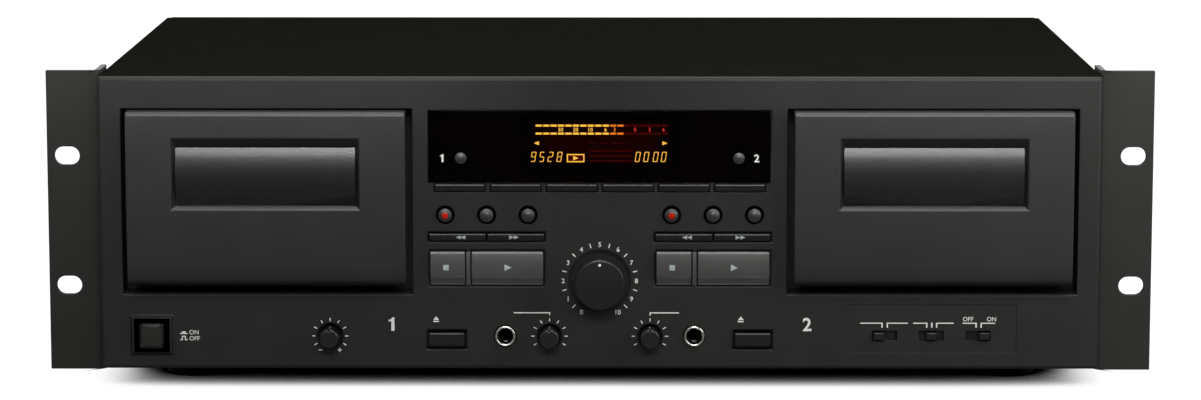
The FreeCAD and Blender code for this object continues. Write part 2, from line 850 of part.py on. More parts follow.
def cassette_holder(deck, sign):
    """Pocket behind the door: front plate, two channels and two ledges, open at the top."""
    body = body_for("Holder")
    half = "cassette_wide / 2 + 2 * cassette_play"
    outer = f"{half} + holder_wall"
    low = "cassette_low - holder_wall"
    plate = area(minus(outer), outer, low, "cassette_low + cassette_high")
    pad_back(body, HOLDER_FACE, [plate], "holder_wall")
    depth = f"{HOLDER_BACK} - ({HOLDER_FACE})"
    for turned in ("-", ""):
        wall = rect(f"{turned}({half} + holder_wall / 2)", "cassette_low + cassette_high / 2",
                    "holder_wall", "cassette_high")
        pad_back(body, HOLDER_FACE, [wall], depth)
        lip = rect(f"{turned}({outer} - holder_lip / 2)",
                   f"({low} + cassette_low + cassette_high) / 2",
                   "holder_lip", "cassette_high + holder_wall")
        pad_back(body, f"{HOLDER_BACK} - holder_wall", [lip], "holder_wall")
        ledge = rect(f"{turned}({outer} - holder_ledge / 2)", "cassette_low - holder_wall / 2",
                     "holder_ledge", "holder_wall")
        pad_back(body, HOLDER_FACE, [ledge], depth)
        reach = "door_wide / 2 - door_wall - slack"
        wing = rect(f"{turned}({half} + {reach}) / 2", "wing_low + wing_high / 2",
                    f"{reach} - ({half})", "wing_high")
        pad_back(body, HOLDER_FACE, [wing], "holder_wall")
    opening = rect("0", "window_low + window_high / 2", "window_wide + window_deep",
                   "window_high + window_deep")
    cut_back(body, HOLDER_FACE, [opening], "holder_wall")
    node(place(body, f"{sign}well_middle"), f"cassette_holder_{deck}")


# Tape transports


def transport_frames():
    """Two pressed frames, each closing the back of a well and carrying its mechanism.

    A raised reflector between the hubs lies behind the window of a cassette.
    """
    frames = []
    for _, sign in sides():
        body = body_for("Frame")
        wide, high = "well_wide + 2 * frame_over", "well_high + 2 * frame_over"
        middle = "well_low + well_high / 2"
        pad_back(body, FRAME_FACE, [rect("0", middle, wide, high)], "frame_thick")
        pad_back(body, "bridge_back", [rect("0", middle, "bridge_wide", "bridge_high")],
                 "frame_thick")
        posts = [(f"{turned}(bridge_wide / 2 - standoff / 2)",
                  f"{middle} {up} (bridge_high / 2 - standoff / 2)", "standoff")
                 for turned in ("-", "") for up in "-+"]
        pad_back(body, FRAME_FACE, posts, f"bridge_back - ({FRAME_FACE}) + weld")
        for turned in ("-", ""):
            hinge_arm(body, turned)
            guide = (f"{turned}carriage_pin_side", "carriage_pin_height", "carriage_pin")
            pad_back(body, f"{FRAME_FACE} - carriage_thick - 2 * fit", [guide],
                     "carriage_thick + 2 * fit + frame_thick")
        reflector = rect("0", HUB_HEIGHT, "reflector_wide", "reflector_high")
        pad_back(body, f"{FRAME_FACE} - reflector_out", [reflector], "reflector_out + weld")
        hubs = [(f"{turned}hub_pitch / 2", HUB_HEIGHT, "spindle_shaft + 2 * fit")
                for turned in ("-", "")]
        capstan = [("capstan_side", CAPSTAN_HEIGHT, "capstan_shaft + 2 * fit")]
        cut_back(body, FRAME_FACE, hubs + capstan, "frame_thick")
        cut_back(body, "bridge_back", capstan, "frame_thick")
        frames.append(place(body, f"{sign}well_middle"))
    group("transport_frames", frames)


def hinge_arm(body, turned):
    """Arm from the frame to the door's hinge pin, with a round end about the pin."""
    side = f"{turned}(door_wide / 2 - door_wall - hinge_gap - hinge_arm / 2)"
    arm = area(HINGE_BACK, f"{FRAME_FACE} + weld", f"{HINGE_HEIGHT} - hinge_radius",
               f"{HINGE_HEIGHT} + hinge_radius")
    pad_across(body, [arm], "hinge_arm", side)
    pad_across(body, [(HINGE_BACK, HINGE_HEIGHT, "2 * hinge_radius")], "hinge_arm", side)
    hole = [(HINGE_BACK, HINGE_HEIGHT, "hinge_pin + 2 * fit")]
    cut_across(body, hole, "2 * hinge_arm", side)


def head_carriage(deck, sign):
    """Plate that lifts the head into the cassette, sliding on two pins in its slots."""
    body = body_for("Carriage")
    back = f"{FRAME_FACE} - fit"
    front = f"{back} - carriage_thick"
    plate = rect("0", "carriage_low + carriage_high / 2", "carriage_wide", "carriage_high")
    pad_back(body, front, [plate], "carriage_thick")
    slots = [rect(f"{turned}carriage_pin_side", "carriage_pin_height - head_travel / 2",
                  "carriage_pin + 2 * fit", "carriage_pin + 2 * fit + head_travel")
             for turned in ("-", "")]
    cut_back(body, front, slots, "carriage_thick")
    head = area("-head_wide / 2", "head_wide / 2", "cassette_low - head_gap - head_high",
                "cassette_low - head_gap")
    pad_back(body, "-head_tip", [head], f"{front} + head_tip + weld")
    node(place(body, f"{sign}well_middle"), f"head_carriage_{deck}")


def spindle(deck, sign, name, turned):
    """Reel spindle: table, splined hub and the shaft that turns in the frame."""
    body = body_for("Spindle")
    table, tip = f"{FRAME_FACE} - 2 * fit", "spindle_tip"
    rim, step = f"{table} - table_thick", "table_thick / 4"
    end = f"{FRAME_FACE} + frame_thick + shaft_end"
    turn(body, [(minus(tip), "0"), (minus(tip), "spindle_hub / 5"),
                (f"spindle_nose - {tip}", "spindle_hub / 2"), (rim, "spindle_hub / 2"),
                (rim, f"spindle_table / 2 - {step}"), (f"{rim} + {step}", "spindle_table / 2"),
                (table, "spindle_table / 2"), (table, "spindle_shaft / 2"),
                (end, "spindle_shaft / 2"), (end, "0")])
    fin = rect("0", "spindle_hub / 2 + fin_high / 4", "fin_thick", "fin_high")
    splines = pad_back(body, f"spindle_nose - {tip} + fin_thick / 2", [fin],
                       f"{rim} + {tip} - spindle_nose")
    pattern = body.newObject("PartDesign::PolarPattern", "Splines")
    pattern.Originals = [splines]
    pattern.Axis = (splines.Profile[0], ["N_Axis"])
    pattern.Angle = 360
    pattern.Occurrences = 3
    body.Tip = pattern
    place(body, f"{sign}well_middle {turned} hub_pitch / 2", z=HUB_HEIGHT)
    node(body, f"{name}_spindle_{deck}")


def capstan_flywheel(deck, sign):
    """Capstan shaft with its flywheel, between the frame and the bridge behind it."""
    body = body_for("Capstan")
    shaft, disc = "capstan_shaft / 2", "flywheel_wide / 2"
    front = f"(bridge_back + {FRAME_FACE} + frame_thick - flywheel_thick) / 2"
    back = f"{front} + flywheel_thick"
    edge, web, hub = "flywheel_edge", "flywheel_web", "flywheel_hub / 2"
    end = "bridge_back + frame_thick + flywheel_edge"
    turn(body, [("-capstan_tip", "0"), ("-capstan_tip", shaft), (front, shaft),
                (front, f"{disc} - {edge}"), (f"{front} + {edge}", disc), (back, disc),
                (back, f"{disc} - {web}"), (f"{back} - {web}", f"{disc} - {web} - {edge}"),
                (f"{back} - {web}", f"{hub} + {edge}"), (back, hub), (back, shaft),
                (end, shaft), (end, "0")])
    place(body, f"{sign}well_middle + capstan_side", z=CAPSTAN_HEIGHT)
    node(body, f"capstan_flywheel_{deck}")


# Display and boards


def display_window():
    body = body_for("Window")
    outline = rect("0", "display_low + display_high / 2", "display_wide - fit",
                   "display_high - fit")
    pad_back(body, "-display_proud", [outline], "display_thick")
    ease(body, "Chamfer", "front", "display_proud / 2")
    holes = [(f"{sign}reset_side", "reset_height", "reset_wide + 2 * fit") for _, sign in sides()]
    cut_back(body, "-display_proud", holes, "display_thick")
    node(place(body), "display_window")


def control_boards():
    """Boards on the panel's posts: display tube, key switches and the bodies of the controls."""
    body = body_for("Boards")
    front = "board_back"
    middle = rect("0", "board_low + board_high / 2", "board_wide", "board_high")
    tab = area("-gain_side - low_board / 2", "gain_side + low_board / 2",
               "knob_height - low_board / 2", "board_low - fit")
    left = area("-power_side - low_board / 2", "-pitch_side + low_board",
                "knob_height - low_board / 2", "knob_height + low_board / 2")
    right = rect("switch_middle", "switch_height", "2 * (switch_pitch + switch_post + post_wide)",
                 "low_board")
    pad_back(body, front, [middle, left, right, tab], "board_thick")
    tube = rect("0", "tube_low + tube_high / 2", "tube_wide", "tube_high")
    pad_back(body, f"{front} - tube_thick", [tube], "tube_thick + weld")
    for row in key_switch_rows():
        pad_back(body, f"{front} - tact_deep", row, "tact_deep + weld")
    pots = [rect(side, "knob_height", "pot_wide", "pot_wide") for side in KNOB_SIDES.values()]
    pots.append(rect("0", "level_height", "pot_wide", "pot_wide"))
    pad_back(body, f"{front} - pot_deep", pots, "pot_deep + weld")
    housings = [rect(f"switch_middle + switch_pitch * {column}", "switch_height", "tact_wide * 2",
                     "tact_wide") for column in (-1, 0, 1)]
    housings.append(rect("-power_side", "power_height", "tact_wide * 2", "tact_wide * 2"))
    pad_back(body, front, housings, "housing_deep")
    node(place(body), "control_boards")


def key_switch_rows():
    """One square switch body behind every key that the boards serve."""
    size = ("tact_wide", "tact_wide")
    strip = [rect(f"strip_pitch * {column}", "strip_low + strip_high / 2", "tact_wide", "tact_high")
             for column in STRIP_COLUMNS]
    rows = [strip, [rect(f"{sign}reset_side", "reset_height", *size) for _, sign in sides()]]
    for _, sign in sides():
        middle = f"{sign}group_side"
        row = [rect(f"{middle} + round_pitch * {column}", "round_height", *size)
               for column in (-1, 0, 1)]
        row += [rect(f"{middle} {turned} (wind_wide + wind_gap) / 2", "wind_low + wind_high / 2",
                     "tact_wide", "tact_high") for turned in "-+"]
        row += [rect(x, "play_low + play_high / 2", *size)
                for x in (stop_middle(sign), play_middle(sign))]
        rows.append(row)
    return rows


# Keys and buttons


def flat_key(label, x, z, wide, high, out, travel, curve=None):
    """Key cap with a stem behind it that stops short of its switch by the key's travel."""
    body = body_for("Key")
    cap = rect("0", "0", wide, high)
    pad_back(body, minus(out), [cap], f"{out} + panel_thick + key_thick")
    if curve:
        ease(body, "Fillet", "front bottom", curve)
        ease(body, "Chamfer", "front top", "key_edge")
    else:
        ease(body, "Chamfer", "front", "key_edge")
    back = "panel_thick + key_thick"
    reach = f"board_back - tact_deep - fit - {travel}"
    stem = rect("0", "0", "key_stem", f"min(key_stem; {high})")
    pad_back(body, back, [stem], f"{reach} - ({back})")
    node(place(body, x, z=z), label)


def strip_keys():
    """Six narrow keys in a row under the display."""
    names = ("return_to_zero_1", "dimmer", "repeat", "parallel_rec", "dub_start",
             "return_to_zero_2")
    for column, name in zip(STRIP_COLUMNS, names):
        flat_key(f"{name}_key", f"strip_pitch * {column}", "strip_low + strip_high / 2",
                 "strip_wide", "strip_high", "strip_out", "strip_travel")


def transport_keys(deck, sign):
    middle = f"{sign}group_side"
    for name, turned in (("rewind", "-"), ("fast_forward", "+")):
        flat_key(f"{name}_key_{deck}", f"{middle} {turned} (wind_wide + wind_gap) / 2",
                 "wind_low + wind_high / 2", "wind_wide", "wind_high", "wind_out", "key_travel")
    for name, x, wide in (("stop", stop_middle(sign), "stop_wide"),
                          ("play", play_middle(sign), "play_wide")):
        flat_key(f"{name}_key_{deck}", x, "play_low + play_high / 2", wide, "play_high",
                 "play_out", "key_travel", "play_curve")


def eject_key(deck, sign):
    """Mechanical key with a collar that keeps it in its opening, and a long push rod."""
    body = body_for("Eject")
    cap = rect("0", "0", "eject_wide", "eject_high")
    pad_back(body, "-eject_out", [cap], "eject_out + panel_thick + fit")
    ease(body, "Fillet", "front bottom", "eject_curve")
    ease(body, "Chamfer", "front top", "key_edge")
    collar = rect("0", "0", "eject_wide + 4 * eject_gap", "eject_high + eject_gap")
    pad_back(body, "panel_thick + fit", [collar], "key_thick")
    rod = rect("0", "0", "key_stem", "key_stem * 0.75")
    pad_back(body, "panel_thick + fit + key_thick", [rod], "eject_rod")
    node(place(body, f"{sign}eject_side", z="eject_low + eject_high / 2"), f"eject_key_{deck}")


def round_button(label, x, z, wide, out, collar, collar_face, travel):
    """Turned button with a collar that keeps it in its hole and a stem towards its switch."""
    body = body_for("Button")
    cap, rim = f"{wide} / 2", f"({collar}) / 2"
    reach = f"board_back - tact_deep - fit - {travel}"
    turn(body, [(minus(out), "0"), (minus(out), f"{cap} - key_edge"),
                (f"key_edge - {out}", cap), (collar_face, cap), (collar_face, rim),
                (f"{collar_face} + collar_thick", rim),
                (f"{collar_face} + collar_thick", "key_stem / 2"),
                (reach, "key_stem / 2"), (reach, "0")])
    node(place(body, x, z=z), label)


def round_buttons():
    for deck, sign in sides():
        for column, name in zip((-1, 0, 1), ("record", "pause", "rec_mute")):
            round_button(f"{name}_button_{deck}", f"{sign}group_side + round_pitch * {column}",
                         "round_height", "round_wide", "round_out", "round_hole - 2 * fit",
                         "panel_thick / 2", "key_travel")
        round_button(f"counter_reset_button_{deck}", f"{sign}reset_side", "reset_height",
                     "reset_wide", "reset_out", "reset_wide + 2 * collar_thick",
                     "display_thick - display_proud + fit", "key_travel")


def power_button():
    body = body_for("Power")
    pad_back(body, "-power_out", [rect("0", "0", "power_wide", "power_high")],
             "power_out + panel_thick + key_thick")
    ease(body, "Chamfer", "front", "key_edge")
    stem = rect("0", "0", "key_stem", "key_stem")
    back = "panel_thick + key_thick"
    pad_back(body, back, [stem], f"board_back - fit - power_travel - ({back})")
    node(place(body, "-power_side", z="power_height"), "power_button")


def small_knob(name, side):
    """Slim knob in a round hole, with a pointer notch at its top edge and a shaft behind."""
    body = body_for("Knob")
    turn(body, [("-knob_reach", "0"), ("-knob_reach", "knob_wide / 2 - knob_edge"),
                ("knob_edge - knob_reach", "knob_wide / 2"), ("panel_thick", "knob_wide / 2"),
                ("panel_thick", "knob_shaft / 2"), ("board_back - pot_deep - fit", "knob_shaft / 2"),
                ("board_back - pot_deep - fit", "0")])
    notch = rect("0", "knob_wide / 2 - knob_notch / 2", "knob_notch", "knob_notch")
    cut_back(body, "-knob_reach", [notch], "knob_reach")
    node(place(body, side, z="knob_height"), f"{name}_knob")


def level_knob():
    """Large knob over its dish, with a beveled face and a shaft to its control."""
    body = body_for("Level")
    turn(body, [("-level_reach", "0"), ("-level_reach", "level_wide / 2 - level_edge"),
                ("level_edge - level_reach", "level_wide / 2"), ("-fit", "level_wide / 2"),
                ("-fit", "knob_shaft / 2"), ("board_back - pot_deep - fit", "knob_shaft / 2"),
                ("board_back - pot_deep - fit", "0")])
    dot = [("0", "level_wide / 2 - 1.6 * level_dot", "level_dot")]
    cut_back(body, "-level_reach", dot, "knob_edge")
    node(place(body, z="level_height"), "rec_level_knob")


def slide_switches():
    """Levers of the three slide switches: at the left, in the middle and at the right."""
    names = ("play_mode", "timer", "noise_reduction")
    for column, name in zip((-1, 0, 1), names):
        body = body_for("Slider")
        lever = rect("0", "0", "switch_lever", "switch_lever_high")
        pad_back(body, "-switch_out", [lever], "switch_out + panel_thick + fit + weld")
        ease(body, "Chamfer", "front", "key_edge")
        shutter = rect("0", "0", "switch_wide + switch_lever", "switch_high + shutter_over")
        pad_back(body, "panel_thick + fit", [shutter], "collar_thick")
        pad_back(body, "panel_thick + fit", [rect("0", "0", "switch_stem", "switch_stem")],
                 "board_back - panel_thick - 2 * fit")
        place(body, f"switch_middle + (switch_pitch + switch_travel) * {column}",
              z="switch_height")
        node(body, f"{name}_switch")


def front_jacks():
    """Two quarter inch jacks: a ring in front of the panel and a bored body behind it."""
    jacks = []
    for _, sign in sides():
        body = body_for("Jack")
        ring, bore = "jack_ring / 2", "jack_bore / 2"
        turn(body, [("-jack_out", bore), ("jack_edge - jack_out", f"{ring} - jack_edge / 2"),
                    ("0", ring),
                    ("panel_thick", ring), ("panel_thick", bore)])
        block = rect("0", "0", "jack_body", "jack_body")
        pad_back(body, "panel_thick", [block, ("0", "0", "jack_bore")], "jack_deep - panel_thick")
        jacks.append(place(body, f"{sign}jack_side", z="jack_height"))
    group("front_jacks", jacks)


# Rear sockets and the inside


def socket_places():
    return [(f"socket_side {across} socket_pitch / 2", f"socket_height {up} socket_pitch / 2")
            for across in "-+" for up in "-+"]


def line_sockets():
    """Four coaxial sockets in the rear wall, each with a bore for its plug's pin."""
    sockets = []
    for x, z in socket_places():
        body = body_for("Socket")
        end, inside = "(socket_reach + cover_thick)", "-(sheet_thick + slack)"
        base, outer, bore = "socket_base / 2", "socket_wide / 2", "socket_bore / 2"
        shoulder = "socket_shoulder / 2"
        turn(body, [(f"{inside} - socket_back", "0"), (f"{inside} - socket_back", base),
                    (inside, base), (inside, shoulder), ("slack", shoulder), ("slack", outer),
                    (end, outer), (end, bore),
                    (f"{end} - socket_deep", bore), (f"{end} - socket_deep", "0")])
        sockets.append(place(body, x, f"{REAR_WALL} + sheet_thick", z))
    group("line_sockets", sockets)


def ac_inlet():
    """Power inlet: flange on the rear wall, hollow shroud behind it and three contact pins."""
    body = body_for("Inlet")
    wall = f"{REAR_WALL} + sheet_thick"
    middle = ("-inlet_side", "inlet_height")
    shell = rect(*middle, "inlet_wide", "inlet_high")
    inside = rect(*middle, "inlet_wide - 2 * inlet_wall", "inlet_high - 2 * inlet_wall")
    flange = rect(*middle, "inlet_wide + 2 * inlet_flange", "inlet_high + 2 * inlet_flange")
    floor = f"{wall} - inlet_deep"
    pad_back(body, floor, [shell], "inlet_deep")
    pad_back(body, wall, [flange], "inlet_flange / 2")
    cut_back(body, f"{floor} + inlet_wall", [inside], "inlet_deep + inlet_flange")
    pins = [rect(f"-inlet_side + {across} * pin_side", f"inlet_height + {up} * pin_side",
                 "pin_wide", "2 * pin_wide") for across, up in ((-1, -0.2), (0, 0.35), (1, -0.2))]
    pad_back(body, f"{floor} + inlet_wall - weld", pins, "inlet_deep * 0.5")
    node(place(body), "ac_inlet")


def main_board_corners():
    """Middles of the board's four standoffs, as (x, y)."""
    return [(f"main_side {across} (main_wide / 2 - standoff)",
             f"main_front + main_deep / 2 {back} (main_deep / 2 - standoff)")
            for across in "-+" for back in "-+"]


def main_board():
    """Audio and control board on its standoffs, with its larger components."""
    body = body_for("Board")
    outline = area("main_side - main_wide / 2", "main_side + main_wide / 2", "main_front",
                   "main_front + main_deep")
    pad_up(body, "main_height", [outline], "board_thick")
    top = "main_height + board_thick - weld"
    chips = [rect(f"main_side + {x} * main_wide", f"main_front + {y} * main_deep",
                  "chip_wide", "chip_deep")
             for x, y in ((-0.32, 0.2), (-0.16, 0.2), (0, 0.2), (0.16, 0.2), (-0.32, 0.45),
                          (-0.16, 0.45))]
    pad_up(body, top, chips, "chip_high")
    cans = [(f"main_side + {x} * main_wide", "main_front + 0.76 * main_deep", "can_wide")
            for x in (-0.4, -0.32, -0.24, 0.28, 0.36)]
    pad_up(body, top, cans, "can_high")
    sink = rect("main_side + 0.06 * main_wide", "main_front + 0.8 * main_deep", "sink_wide",
                "chip_high")
    pad_up(body, top, [sink], "sink_high")
    node(place(body), "main_board")


def power_transformer():
    """Laminated core with its winding, on a foot that lies on the floor of the chassis."""
    body = body_for("Transformer")
    wide, deep, high = "transformer_wide", "transformer_deep", "transformer_high"
    floor, core_deep = "sheet_thick", "transformer_core"
    foot = rect("0", "0", f"{wide} + 2 * transformer_foot", core_deep)
    pad_up(body, floor, [foot], "frame_thick")
    pad_up(body, floor, [rect("0", "0", wide, core_deep)], high)
    winding = rect("0", "0", f"{wide} * 2 / 3", deep)
    pad_up(body, f"{floor} + {high} / 6", [winding], f"{high} * 2 / 3")
    place(body, "-transformer_side", "transformer_front")
    node(body, "power_transformer")


front_panel()
top_cover()
chassis()
rack_ears()
feet()
screws()
transport_frames()
for deck_number, deck_sign in sides():
    door(deck_number, deck_sign)
    door_window(deck_number, deck_sign)
    cassette_holder(deck_number, deck_sign)
    head_carriage(deck_number, deck_sign)
    spindle(deck_number, deck_sign, "supply", "-")
    spindle(deck_number, deck_sign, "takeup", "+")
    capstan_flywheel(deck_number, deck_sign)
    transport_keys(deck_number, deck_sign)
    eject_key(deck_number, deck_sign)
display_window()
control_boards()
strip_keys()
round_buttons()
power_button()
for knob_name, knob_side in KNOB_SIDES.items():
    small_knob(knob_name, knob_side)
level_knob()
slide_switches()
front_jacks()
line_sockets()
ac_inlet()
main_board()
power_transformer()
doc.recompute()

failed = [item.Label for item in doc.Objects
          if "Invalid" in item.State or "Error" in item.State]
broken = [item.Label for item in nodes if item.Shape.isNull() or not item.Shape.isValid()]
if failed or broken:
    raise RuntimeError(f"failed: {failed}, without a valid shape: {broken}")

os.makedirs("parts", exist_ok=True)
for item in nodes:
    item.Shape.exportStep(f"parts/{item.Label}.step")
print(len(nodes), "nodes written")
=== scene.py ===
import json
import math

import bmesh
import bpy
import numpy as np
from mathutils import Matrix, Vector

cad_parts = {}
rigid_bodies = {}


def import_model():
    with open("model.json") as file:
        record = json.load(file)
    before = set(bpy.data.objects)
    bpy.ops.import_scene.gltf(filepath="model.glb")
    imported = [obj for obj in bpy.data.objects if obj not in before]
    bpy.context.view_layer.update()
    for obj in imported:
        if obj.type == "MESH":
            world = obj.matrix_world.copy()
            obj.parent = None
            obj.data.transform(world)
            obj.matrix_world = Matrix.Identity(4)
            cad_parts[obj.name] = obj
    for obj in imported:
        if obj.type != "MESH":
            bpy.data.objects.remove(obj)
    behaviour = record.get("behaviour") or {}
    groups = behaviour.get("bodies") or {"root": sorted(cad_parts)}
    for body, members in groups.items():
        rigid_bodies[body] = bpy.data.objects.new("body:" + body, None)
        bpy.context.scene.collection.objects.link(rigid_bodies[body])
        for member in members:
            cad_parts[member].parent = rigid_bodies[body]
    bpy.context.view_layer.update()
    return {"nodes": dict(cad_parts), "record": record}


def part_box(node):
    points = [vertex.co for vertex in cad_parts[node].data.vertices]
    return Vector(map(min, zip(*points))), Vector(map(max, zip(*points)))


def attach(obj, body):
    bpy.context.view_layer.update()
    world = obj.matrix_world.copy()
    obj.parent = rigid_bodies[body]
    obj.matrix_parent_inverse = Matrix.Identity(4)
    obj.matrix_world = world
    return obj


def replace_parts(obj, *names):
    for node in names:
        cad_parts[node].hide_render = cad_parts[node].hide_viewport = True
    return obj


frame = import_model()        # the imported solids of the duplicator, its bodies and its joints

# Studio: a plain pale floor that curves up into a backdrop with a lamp of its own.  Soft lamps
# stand in front, overhead and at the right, and two narrow ones hang close over the panel.  The
# room in front is dim, so that satin black stays black, and a long lens looks down a little.

MM = 0.001
panel_out = 9.5
origin = np.array([0.0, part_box("rack_ears")[0].y / MM - panel_out,
                   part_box("front_panel")[0].z / MM])
scene = bpy.context.scene
scene.view_settings.view_transform = "Standard"


def framed(points):
    """Millimetres from the middle of the panel's face and lower edge, as metres in the frame."""
    return (np.asarray(points, float) + origin) * MM


def link(obj):
    scene.collection.objects.link(obj)
    return obj


def shader(tree, kind, links=(), **values):
    """Add a shader node, set its properties or sockets by name and wire its inputs."""
    item = tree.nodes.new(kind)
    for name, value in values.items():
        socket = name.replace("_", " ")
        if socket in item.inputs:
            item.inputs[socket].default_value = value
        else:
            setattr(item, name, value)
    for socket, source in dict(links).items():
        tree.links.new(source, item.inputs[socket])
    return item


def blank_material(name):
    material = bpy.data.materials.new(name)
    material.use_nodes = True
    tree = material.node_tree
    tree.nodes.clear()
    return material, tree, tree.nodes.new("ShaderNodeOutputMaterial")


def maths(tree, operation, *values):
    """Output of a math node whose inputs are plain numbers or outputs of other nodes."""
    item = shader(tree, "ShaderNodeMath", operation=operation)
    for socket, value in zip(item.inputs, values):
        if isinstance(value, (int, float)):
            socket.default_value = value
        else:
            tree.links.new(value, socket)
    return item.outputs[0]


def seen_directly(tree, strength, in_gloss):
    """Strength for rays from the lens, off gloss and through clear pieces, else nothing.

    in_gloss is an output that dims what gloss and clear pieces show.
    """
    rays = shader(tree, "ShaderNodeLightPath").outputs
    sharp = maths(tree, "MAXIMUM", rays["Is Glossy Ray"], rays["Is Transmission Ray"])
    dimmed = maths(tree, "MULTIPLY", sharp, in_gloss)
    seen = maths(tree, "MAXIMUM", rays["Is Camera Ray"], dimmed)
    return maths(tree, "MULTIPLY", seen, strength)


def ramp(tree, source, start, end, low=0.0, high=1.0, kind="LINEAR"):
    """Value that goes from low to high as the source goes from start to end."""
    return shader(tree, "ShaderNodeMapRange", {"Value": source}, From_Min=start, From_Max=end,
                  To_Min=low, To_Max=high, interpolation_type=kind).outputs[0]


def how_far_back(tree, output):
    """The front-to-back part of a place or a direction."""
    place = shader(tree, "ShaderNodeTexCoord").outputs[output]
    return shader(tree, "ShaderNodeSeparateXYZ", {"Vector": place}).outputs["Y"]


def grid_faces(rows, columns):
    """Quads between neighbouring points of a rows by columns grid."""
    index = np.arange(rows * columns).reshape(rows, columns)
    corners = (index[:-1, :-1], index[1:, :-1], index[1:, 1:], index[:-1, 1:])
    return np.stack([corner.ravel() for corner in corners], axis=-1).tolist()


def mesh_object(name, points, faces, crease=35):
    """Mesh from points in metres and faces, smooth up to the crease angle in degrees.

    Where crease is None, the faces stay flat and the points apart.
    """
    mesh = bpy.data.meshes.new(name)
    mesh.from_pydata(np.asarray(points, float).reshape(-1, 3).tolist(), [], faces)
    if crease is not None:
        form = bmesh.new()
        form.from_mesh(mesh)
        bmesh.ops.remove_doubles(form, verts=form.verts, dist=0.0005 * MM)
        bmesh.ops.recalc_face_normals(form, faces=form.faces)
        form.to_mesh(mesh)
        form.free()
        mesh.polygons.foreach_set("use_smooth", [True] * len(mesh.polygons))
        mesh.set_sharp_from_angle(angle=math.radians(crease))
    mesh.update()
    return link(bpy.data.objects.new(name, mesh))


def floor_sweep(reach, bend, count):
    """Floor swept back and up: flat, then a quarter circle of radius bend, then a wall."""
    turn = np.linspace(0, math.pi / 2, count)
    back = np.concatenate([[-reach, 0], bend * np.sin(turn), [bend]]) + reach / 2
    up = np.concatenate([[0, 0], bend * (1 - np.cos(turn)), [reach]])
    x, y = np.meshgrid([-reach, reach], back, indexing="ij")
    return np.stack([x, y, np.broadcast_to(up, x.shape)], axis=-1)


white, matt_share, room_light = 0.96, 0.12, 0.04
shadow_reach, darkest_air, open_air = 0.16, 0.635, 0.765
sweep = floor_sweep(reach=9.0, bend=2.5, count=24)
floor = mesh_object("floor", sweep, grid_faces(*sweep.shape[:2]), crease=None)
floor.data.polygons.foreach_set("use_smooth", [True] * len(floor.data.polygons))
paper, tree, output = blank_material("floor_paper")
# The shadow under the part looks for shut-in air: to the front before it, to the back behind it.
front_or_back = ramp(tree, how_far_back(tree, "Object"), -0.0001, 0.0001, -1.0)
outward = shader(tree, "ShaderNodeCombineXYZ", {"Y": front_or_back})
air = shader(tree, "ShaderNodeAmbientOcclusion", {"Normal": outward.outputs[0]},
             Distance=shadow_reach, samples=128)
lit_share = ramp(tree, air.outputs["AO"], darkest_air, open_air, kind="SMOOTHSTEP")
matt = shader(tree, "ShaderNodeBsdfDiffuse",
              {"Color": maths(tree, "MULTIPLY", lit_share, matt_share)})
card = ramp(tree, how_far_back(tree, "Object"), -0.10, 0.15, 0.04)
bright = maths(tree, "MULTIPLY", lit_share, seen_directly(tree, white, card))
glow = shader(tree, "ShaderNodeEmission", {"Strength": bright})
both = shader(tree, "ShaderNodeAddShader", {0: matt.outputs[0], 1: glow.outputs[0]})
tree.links.new(both.outputs[0], output.inputs["Surface"])
floor.data.materials.append(paper)

world = bpy.data.worlds.new("studio")
scene.world = world
world.use_nodes = True
tree = world.node_tree
tree.nodes.clear()
dark_room = ramp(tree, how_far_back(tree, "Generated"), -0.1, 0.3, 0.06)
level = maths(tree, "ADD", seen_directly(tree, white, dark_room), room_light)
room = shader(tree, "ShaderNodeBackground", {"Strength": level}, Color=(1, 1, 1, 1))
shader(tree, "ShaderNodeOutputWorld", {"Surface": room.outputs[0]})


def soft_lamp(name, place, aim, wide, high, watts):
    """Rectangular lamp at a place, turned towards the point that it lights."""
    data = bpy.data.lights.new(name, "AREA")
    data.shape, data.size, data.size_y, data.energy = "RECTANGLE", wide, high, watts
    lamp = link(bpy.data.objects.new(name, data))
    lamp.location = place
    lamp.rotation_mode = "QUATERNION"
    lamp.rotation_quaternion = (Vector(aim) - Vector(place)).to_track_quat("-Z", "Y")
    lamp.visible_camera = False


soft_lamp("front_lamp", (0.1, -2.0, 1.15), (0, 0, 0.08), 1.2, 0.45, 24.0)
soft_lamp("top_left_lamp", (-0.245, -0.196, 0.156), (-0.245, -0.130, 0.118), 0.39, 0.02, 0.125)
soft_lamp("top_right_lamp", (0.245, -0.196, 0.156), (0.245, -0.130, 0.118), 0.39, 0.02, 0.098)
soft_lamp("over_lamp", (0, -0.20, 1.3), (0, -0.13, 0), 0.9, 0.35, 15.0)
soft_lamp("right_lamp", (0.45, -0.35, 0.28), (0.2, -0.13, 0.08), 0.2, 0.3, 1.15)
soft_lamp("back_lamp", (0, 2.0, 1.6), (0, 0.9, 0), 2.5, 1.0, 40.0)

focal_pixels, frame_pixels = 3923.5, 1201
look_down, look_aside = 0.14324, 0.0053
lens = bpy.data.cameras.new("camera")
lens.sensor_width = 36.0
lens.lens = lens.sensor_width * focal_pixels / frame_pixels
camera = link(bpy.data.objects.new("camera", lens))
camera.location = framed((9.25, -1686.5, 317.8))
camera.rotation_euler = (math.pi / 2 - look_down, 0, look_aside)
scene.camera = camera

# Front panel: one moulding in charcoal ABS with a fine eroded grain.  It carries both wells,
# every opening and the raised frame of the power button; its edges are softly rounded.

body_of = {node: body for body, nodes in frame["record"]["behaviour"]["bodies"].items()
           for node in nodes}


